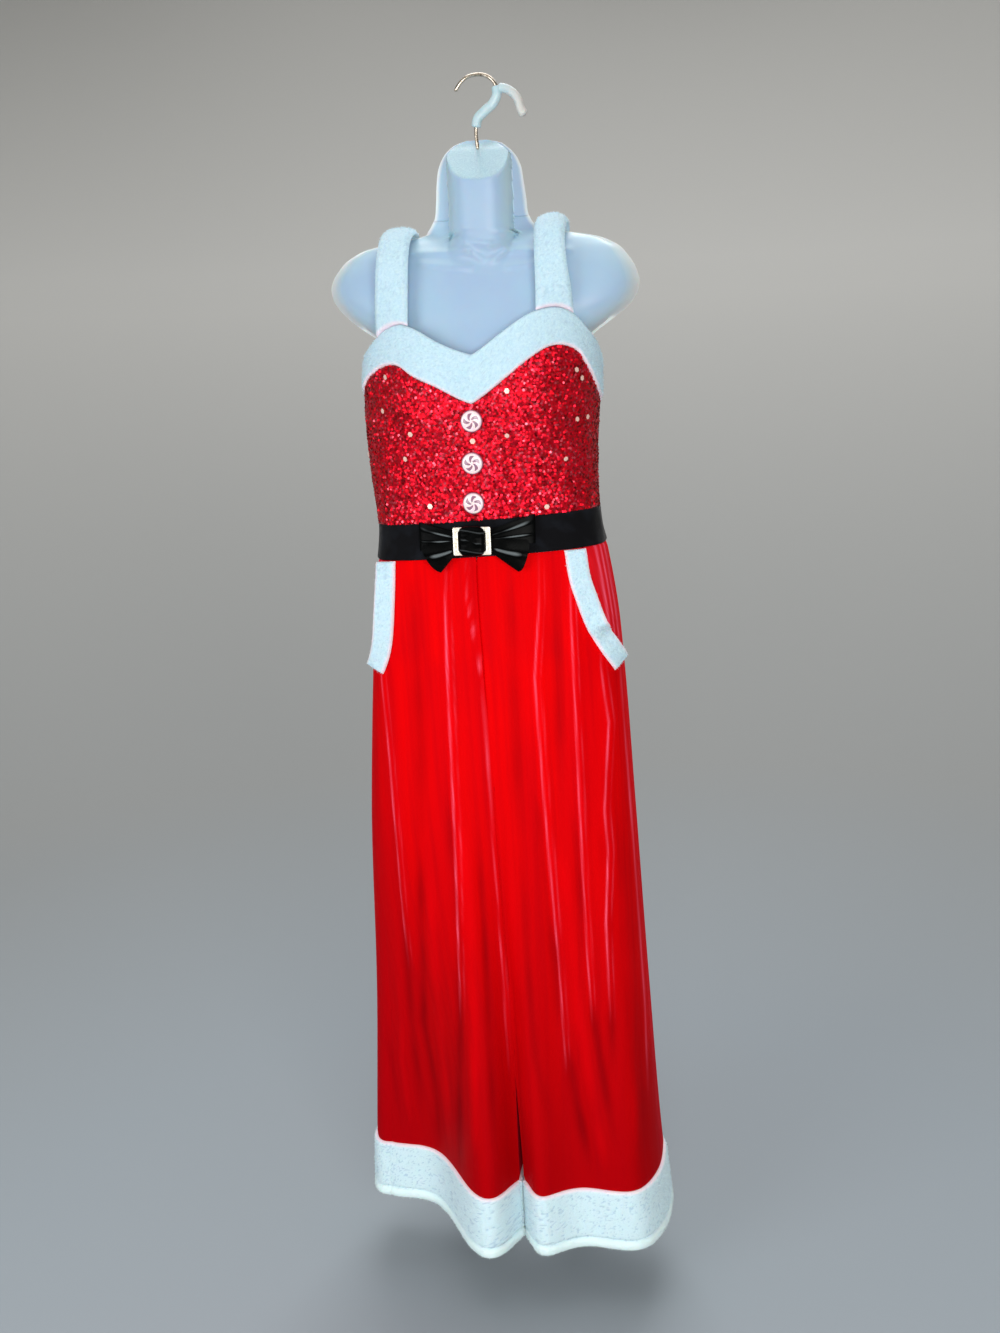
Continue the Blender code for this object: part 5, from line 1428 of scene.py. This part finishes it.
for side, word, reach in ((1, "left", 0.0820), (-1, "right", 0.0730)):
    turn = np.linspace(0, np.pi, 70)[:, None]
    across = np.linspace(-1, 1, 45)
    away = np.sin(turn) ** 0.8
    x = BOW_ROOT + (reach - BOW_ROOT) * away
    tall = LOOP_HALF + LOOP_HALF_GROWS * away
    middle = LOOP_MIDDLE + LOOP_MIDDLE_GROWS * away
    ridge = hump(across - 0.15 - 0.55 * away, 0.17) + hump(across + 0.30 + 0.10 * away, 0.15)
    pleat = ridge * (1 - 0.50 * away) * ease(away / 0.12)
    depth = LOOP_DEPTH + (LOOP_LAYER + LOOP_LAYER_GROWS * away) * np.cos(turn) + PLEAT * pleat
    z = middle + tall * across + 0.0012 * np.sin(9 * across) * away
    ribbon = bow_place(side * x + 0 * across, z, depth)
    thick = grid_facing(ribbon) * SATIN / 2
    # A painted highlight along the loop's pleats, broken along its length.
    broken = 0.6 + 0.4 * np.sin(9 * away + 2 * side)
    crest = ridge**3 * broken * ease(away / 0.3) * ease((1.05 - away) / 0.3)
    loop = shell(
        f"bow_loop_{word}_satin", ribbon - thick, ribbon + thick, satin, "satin_black",
        (f"bow_loop_{word}",), {"crest": crest},
    )

    along = np.linspace(0, 1, 60)[:, None]
    bottom, centre, top = (np.array(p)[:, None] for p in TAIL_FAR[side])
    far = bottom * across * (across - 1) / 2 + centre * (1 - across**2)
    far = far + top * across * (across + 1) / 2
    reached = along * (1 - TAIL_ROUND * np.abs(across) ** 5)
    x = TAIL_ROOT_X + (far[0] - TAIL_ROOT_X) * reached
    root_z = TAIL_ROOT_Z + TAIL_ROOT_HALF * across
    z = root_z + (far[1] - root_z) * reached
    pleat = hump(across + 0.35 - 0.45 * along, 0.20) * ease(along / 0.25)
    swell = (1 - across**2) * ease(2 * along) + 0.3 * along
    depth = TAIL_DEPTH + TAIL_CROWN * swell + PLEAT * pleat
    tongue = bow_place(side * x, z, depth)
    thick = grid_facing(tongue) * SATIN / 2
    # The tongue's pleat gets a painted highlight through its crest mark.
    tail = shell(
        f"bow_tail_{word}_satin", tongue - thick, tongue + thick, satin, "satin_black",
        (f"bow_tail_{word}",), {"crest": pleat**3 * ease((0.95 - along) / 0.3)},
    )
    flat, area = TAIL_FLATS[word]

# The knot.
window_wide = BUCKLE_WIDE / 2 - BUCKLE_SIDE_BAR - TOUCH
window_tall = BUCKLE_TALL / 2 - BUCKLE_LONG_BAR - TOUCH
over = BOW_DEPTH + BUCKLE_THICK + TOUCH
KNOT_SQUARE = 4  # the power of the superellipse that is its outline
KNOT_GATHER = 0.0006
# The knot's rings: distance in front of the belt, and half width and height as shares of the
# buckle's window.
KNOT = (
    (3 * TOUCH, 0.80, 0.75),
    (0.003, 0.99, 0.95),
    (over - 0.0002, 0.99, 0.97),
    (over, 1.00, 1.55),
    (over + 0.0025, 0.96, 1.50),
    (over + 0.0050, 0.76, 1.14),
    (over + 0.0060, 0.40, 0.60),
)
at = np.concatenate([np.linspace(0, 2, 14), np.linspace(2, 3, 6)[1:], np.linspace(3, 6, 26)[1:]])
depth, wide, tall = (
    np.interp(at, np.arange(len(KNOT)), [row[k] * share for row in KNOT])[:, None]
    for k, share in enumerate((1.0, window_wide, window_tall))
)
turn = np.linspace(0, 2 * np.pi, 120, endpoint=False)
outline = [np.sign(f(turn)) * np.abs(f(turn)) ** (2 / KNOT_SQUARE) for f in (np.cos, np.sin)]
centre, _ = front_spot(BOW_X, BOW_Z, BELT_CLOTH)
gathers = np.cos(6.0 * outline[1] * tall / window_tall + 1.2 * outline[0]) * (depth > 0.010)
rings = grid_of(
    centre[0] + wide * outline[0], centre[1] - depth - KNOT_GATHER * gathers,
    centre[2] + tall * outline[1],
)
poles = np.array([[centre[0], rings[k, :, 1].mean(), centre[2]] for k in (0, -1)])
points = np.concatenate([poles[:1], rings.reshape(-1, 3), poles[1:]])
# A painted highlight on the knot's gathers.
crest = np.clip(gathers, 0, 1) ** 6 * 0.35 * ease((depth - 0.012) / 0.004)
crest = np.concatenate([[0.0], crest.ravel(), [0.1]])
knot = piece(
    "bow_knot_satin", points, disc_faces(*gathers.shape), satin, ("bow_knot",),
    marks={"crest": crest},
)


# ================================================================ the buckle
# A cast frame with a pale enamel, stitched in front of the bow. The knot swells out over its upper
# and lower bars, so mostly its two sides show.
def rounded_frame(wide, tall, radius, steps_at_corner):
    """The outline of a rounded rectangle about the origin: a quarter circle at each corner."""
    turn = np.linspace(0, np.pi / 2, steps_at_corner)
    corners = [
        np.stack([
            sx * (wide / 2 - radius) + radius * np.cos(turn + k * np.pi / 2),
            sy * (tall / 2 - radius) + radius * np.sin(turn + k * np.pi / 2),
        ], -1)
        for k, (sx, sy) in enumerate(((1, 1), (-1, 1), (-1, -1), (1, -1)))
    ]
    return np.concatenate(corners)


outer_edge = rounded_frame(BUCKLE_WIDE, BUCKLE_TALL, BUCKLE_ROUND, 9)
inner_edge = rounded_frame(
    BUCKLE_WIDE - 2 * BUCKLE_SIDE_BAR, BUCKLE_TALL - 2 * BUCKLE_LONG_BAR, BUCKLE_ROUND, 9
)
turn = np.linspace(0, 2 * np.pi, 28, endpoint=False)
across = np.sign(np.cos(turn)) * np.abs(np.cos(turn)) ** 0.45
deep = np.sign(np.sin(turn)) * np.abs(np.sin(turn)) ** 0.60
bar = (outer_edge + inner_edge)[:, None] / 2
bar = bar + (outer_edge - inner_edge)[:, None] / 2 * across[:, None]
spot, _ = front_spot(BOW_X, BOW_Z, BELT_CLOTH)
rings = grid_of(
    spot[0] + bar[..., 0], spot[1] - BOW_DEPTH - BUCKLE_THICK / 2 - BUCKLE_THICK / 2 * deep,
    spot[2] + bar[..., 1],
)
loop = ring_index(*rings.shape[:2])
loop = np.concatenate([loop, loop[:1]])
enamel = finish(
    "buckle_enamel", (0.95, 0.90, 0.78), 0.25, Metallic=0.25, Coat_Weight=0.7, Coat_Roughness=0.1
)
place = object_place(enamel)
rubbed = steps(enamel, speckle(enamel, place, 260, 3), 0.40, 0.72)
use(enamel, Base_Color=mix(enamel, rubbed, (0.98, 0.95, 0.86), (0.84, 0.74, 0.56)))
uneven_gloss(enamel, speckle(enamel, place, 500), 0.16, 0.34)
piece("buckle_frame", rings.reshape(-1, 3), [grid_faces(loop)], enamel, ("buckle",))


# ================================================================ the floor, lights and camera
# A plain pale studio: the floor turns up into a low wall all round, far off, so it has no edge from
# any side. Broad soft lamps stand in front, above and behind.
FLOOR_Z, FLOOR_FLAT, WALL_REACH, WALL_TALL = -1.780, 2.4, 6.8, 7.0
bend = np.linspace(0, np.pi / 2, 40)
reach = np.concatenate([
    np.linspace(0.02, FLOOR_FLAT, 12)[:-1], FLOOR_FLAT + (WALL_REACH - FLOOR_FLAT) * np.sin(bend)
])
rise = np.concatenate([np.zeros(11), WALL_TALL * (1 - np.cos(bend))])
turn = np.linspace(0, 2 * np.pi, 96, endpoint=False)
rings = grid_of(
    reach[:, None] * np.cos(turn), reach[:, None] * np.sin(turn), FLOOR_Z + rise[:, None]
)
count, sides = rings.shape[:2]
loop = ring_index(count, sides)
wall = grid_faces(loop)[:, TURNED_OVER]
paper = finish("studio_paper", (0.42, 0.415, 0.40), 0.9, Specular_IOR_Level=0.1)
place = object_place(paper)
height = coordinate(paper, place, "Z")
flat = scaled(paper, place, (1.0, 1.0, 0.0))
away = add(paper, "VectorMath", {0: flat}, operation="LENGTH").outputs["Value"]
mottled = mix(paper, speckle(paper, place, 0.5, 2), (0.29, 0.330, 0.365), (0.31, 0.345, 0.375))
# The floor darker further from the form: painted shade.
far_floor_shade = mix(paper, steps(paper, away, 0.9, 2.8), mottled, (0.31, 0.318, 0.318))
# The wall lighter than the floor as it rises from it: painted light.
raised = mix(paper, steps(paper, height, FLOOR_Z, 0.0), far_floor_shade, (0.47, 0.467, 0.452))
# Darker higher up the wall: painted shade.
use(paper, Base_Color=mix(paper, steps(paper, height, 0.2, 2.4), raised, (0.24, 0.237, 0.225)))
mesh = bpy.data.meshes.new("studio_floor")
middle = np.stack([loop[0, :-1], loop[0, 1:], np.full(sides, count * sides)], -1)
mesh.from_pydata(
    rings.reshape(-1, 3).tolist() + [[0, 0, FLOOR_Z]], [], wall.tolist() + middle.tolist()
)
mesh.shade_smooth()
mesh.materials.append(paper)
placed("studio_floor", mesh)

world = bpy.data.worlds.new("studio_air")
world.use_nodes = True
world.node_tree.nodes["Background"].inputs["Color"].default_value = (0.97, 0.98, 0.96, 1)
world.node_tree.nodes["Background"].inputs["Strength"].default_value = 0.45
bpy.context.scene.world = world


def looking(place, ahead, upward):
    """The matrix of a camera or lamp at a place, looking ahead, with upward towards its top."""
    ahead, upward = np.array(ahead, float), np.array(upward, float)
    back = -unit(ahead)
    side = unit(np.cross(upward, back))
    turned = np.stack([side, np.cross(back, side), back], 1)
    made = np.eye(4)
    made[:3, :3], made[:3, 3] = turned, place
    return Matrix(made.tolist())


# Each lamp: its place, where it points, its width, its watts and its colour.
LAMPS = (
    ("key_lamp", (0.90, -2.90, -0.40), (0.0, 0.0, -1.30), 1.6, 64, (1.0, 0.99, 0.96)),
    ("fill_lamp", (-1.80, -2.50, -0.50), (0.0, 0.0, -1.30), 1.6, 38, (0.96, 0.98, 1.0)),
    ("back_lamp", (0.0, 4.20, 4.20), (0.0, 0.0, -0.90), 4.5, 250, (1.0, 1.0, 1.0)),
    ("top_lamp", (0.0, -0.2, 2.4), (0.0, 0.0, -1.0), 2.8, 30, (1.0, 1.0, 1.0)),
)
for name, where, towards, wide, power, colour in LAMPS:
    lamp = bpy.data.lights.new(name, "AREA")
    lamp.size = wide
    lamp.energy = power
    lamp.color = colour
    upward = (0, 1, 0) if name == "top_lamp" else (0, 0, 1)
    placed(name, lamp).matrix_world = looking(where, np.subtract(towards, where), upward)

CAMERA_AWAY, CAMERA_Z = 1.9, -0.400
CAMERA_TURN, CAMERA_DOWN, CAMERA_ROLL = 10.0, 12.0, 2.4
CAMERA_LENS, CAMERA_FILM = 36.0, 36.0
turn, down, roll = (math.radians(a) for a in (CAMERA_TURN, CAMERA_DOWN, CAMERA_ROLL))
ahead = np.array([
    -math.sin(turn) * math.cos(down), math.cos(turn) * math.cos(down), -math.sin(down)
])
level = np.array([math.cos(turn), math.sin(turn), 0.0])
upward = math.sin(roll) * level + math.cos(roll) * np.cross(level, ahead)
lens = bpy.data.cameras.new("camera")
lens.sensor_width = CAMERA_FILM
lens.lens = CAMERA_LENS
lens.clip_end = 50.0
camera = placed("camera", lens)
camera.matrix_world = looking(
    (CAMERA_AWAY * math.sin(turn), -CAMERA_AWAY * math.cos(turn), CAMERA_Z), ahead, upward
)
bpy.context.scene.camera = camera
bpy.context.scene.view_settings.view_transform = "Standard"
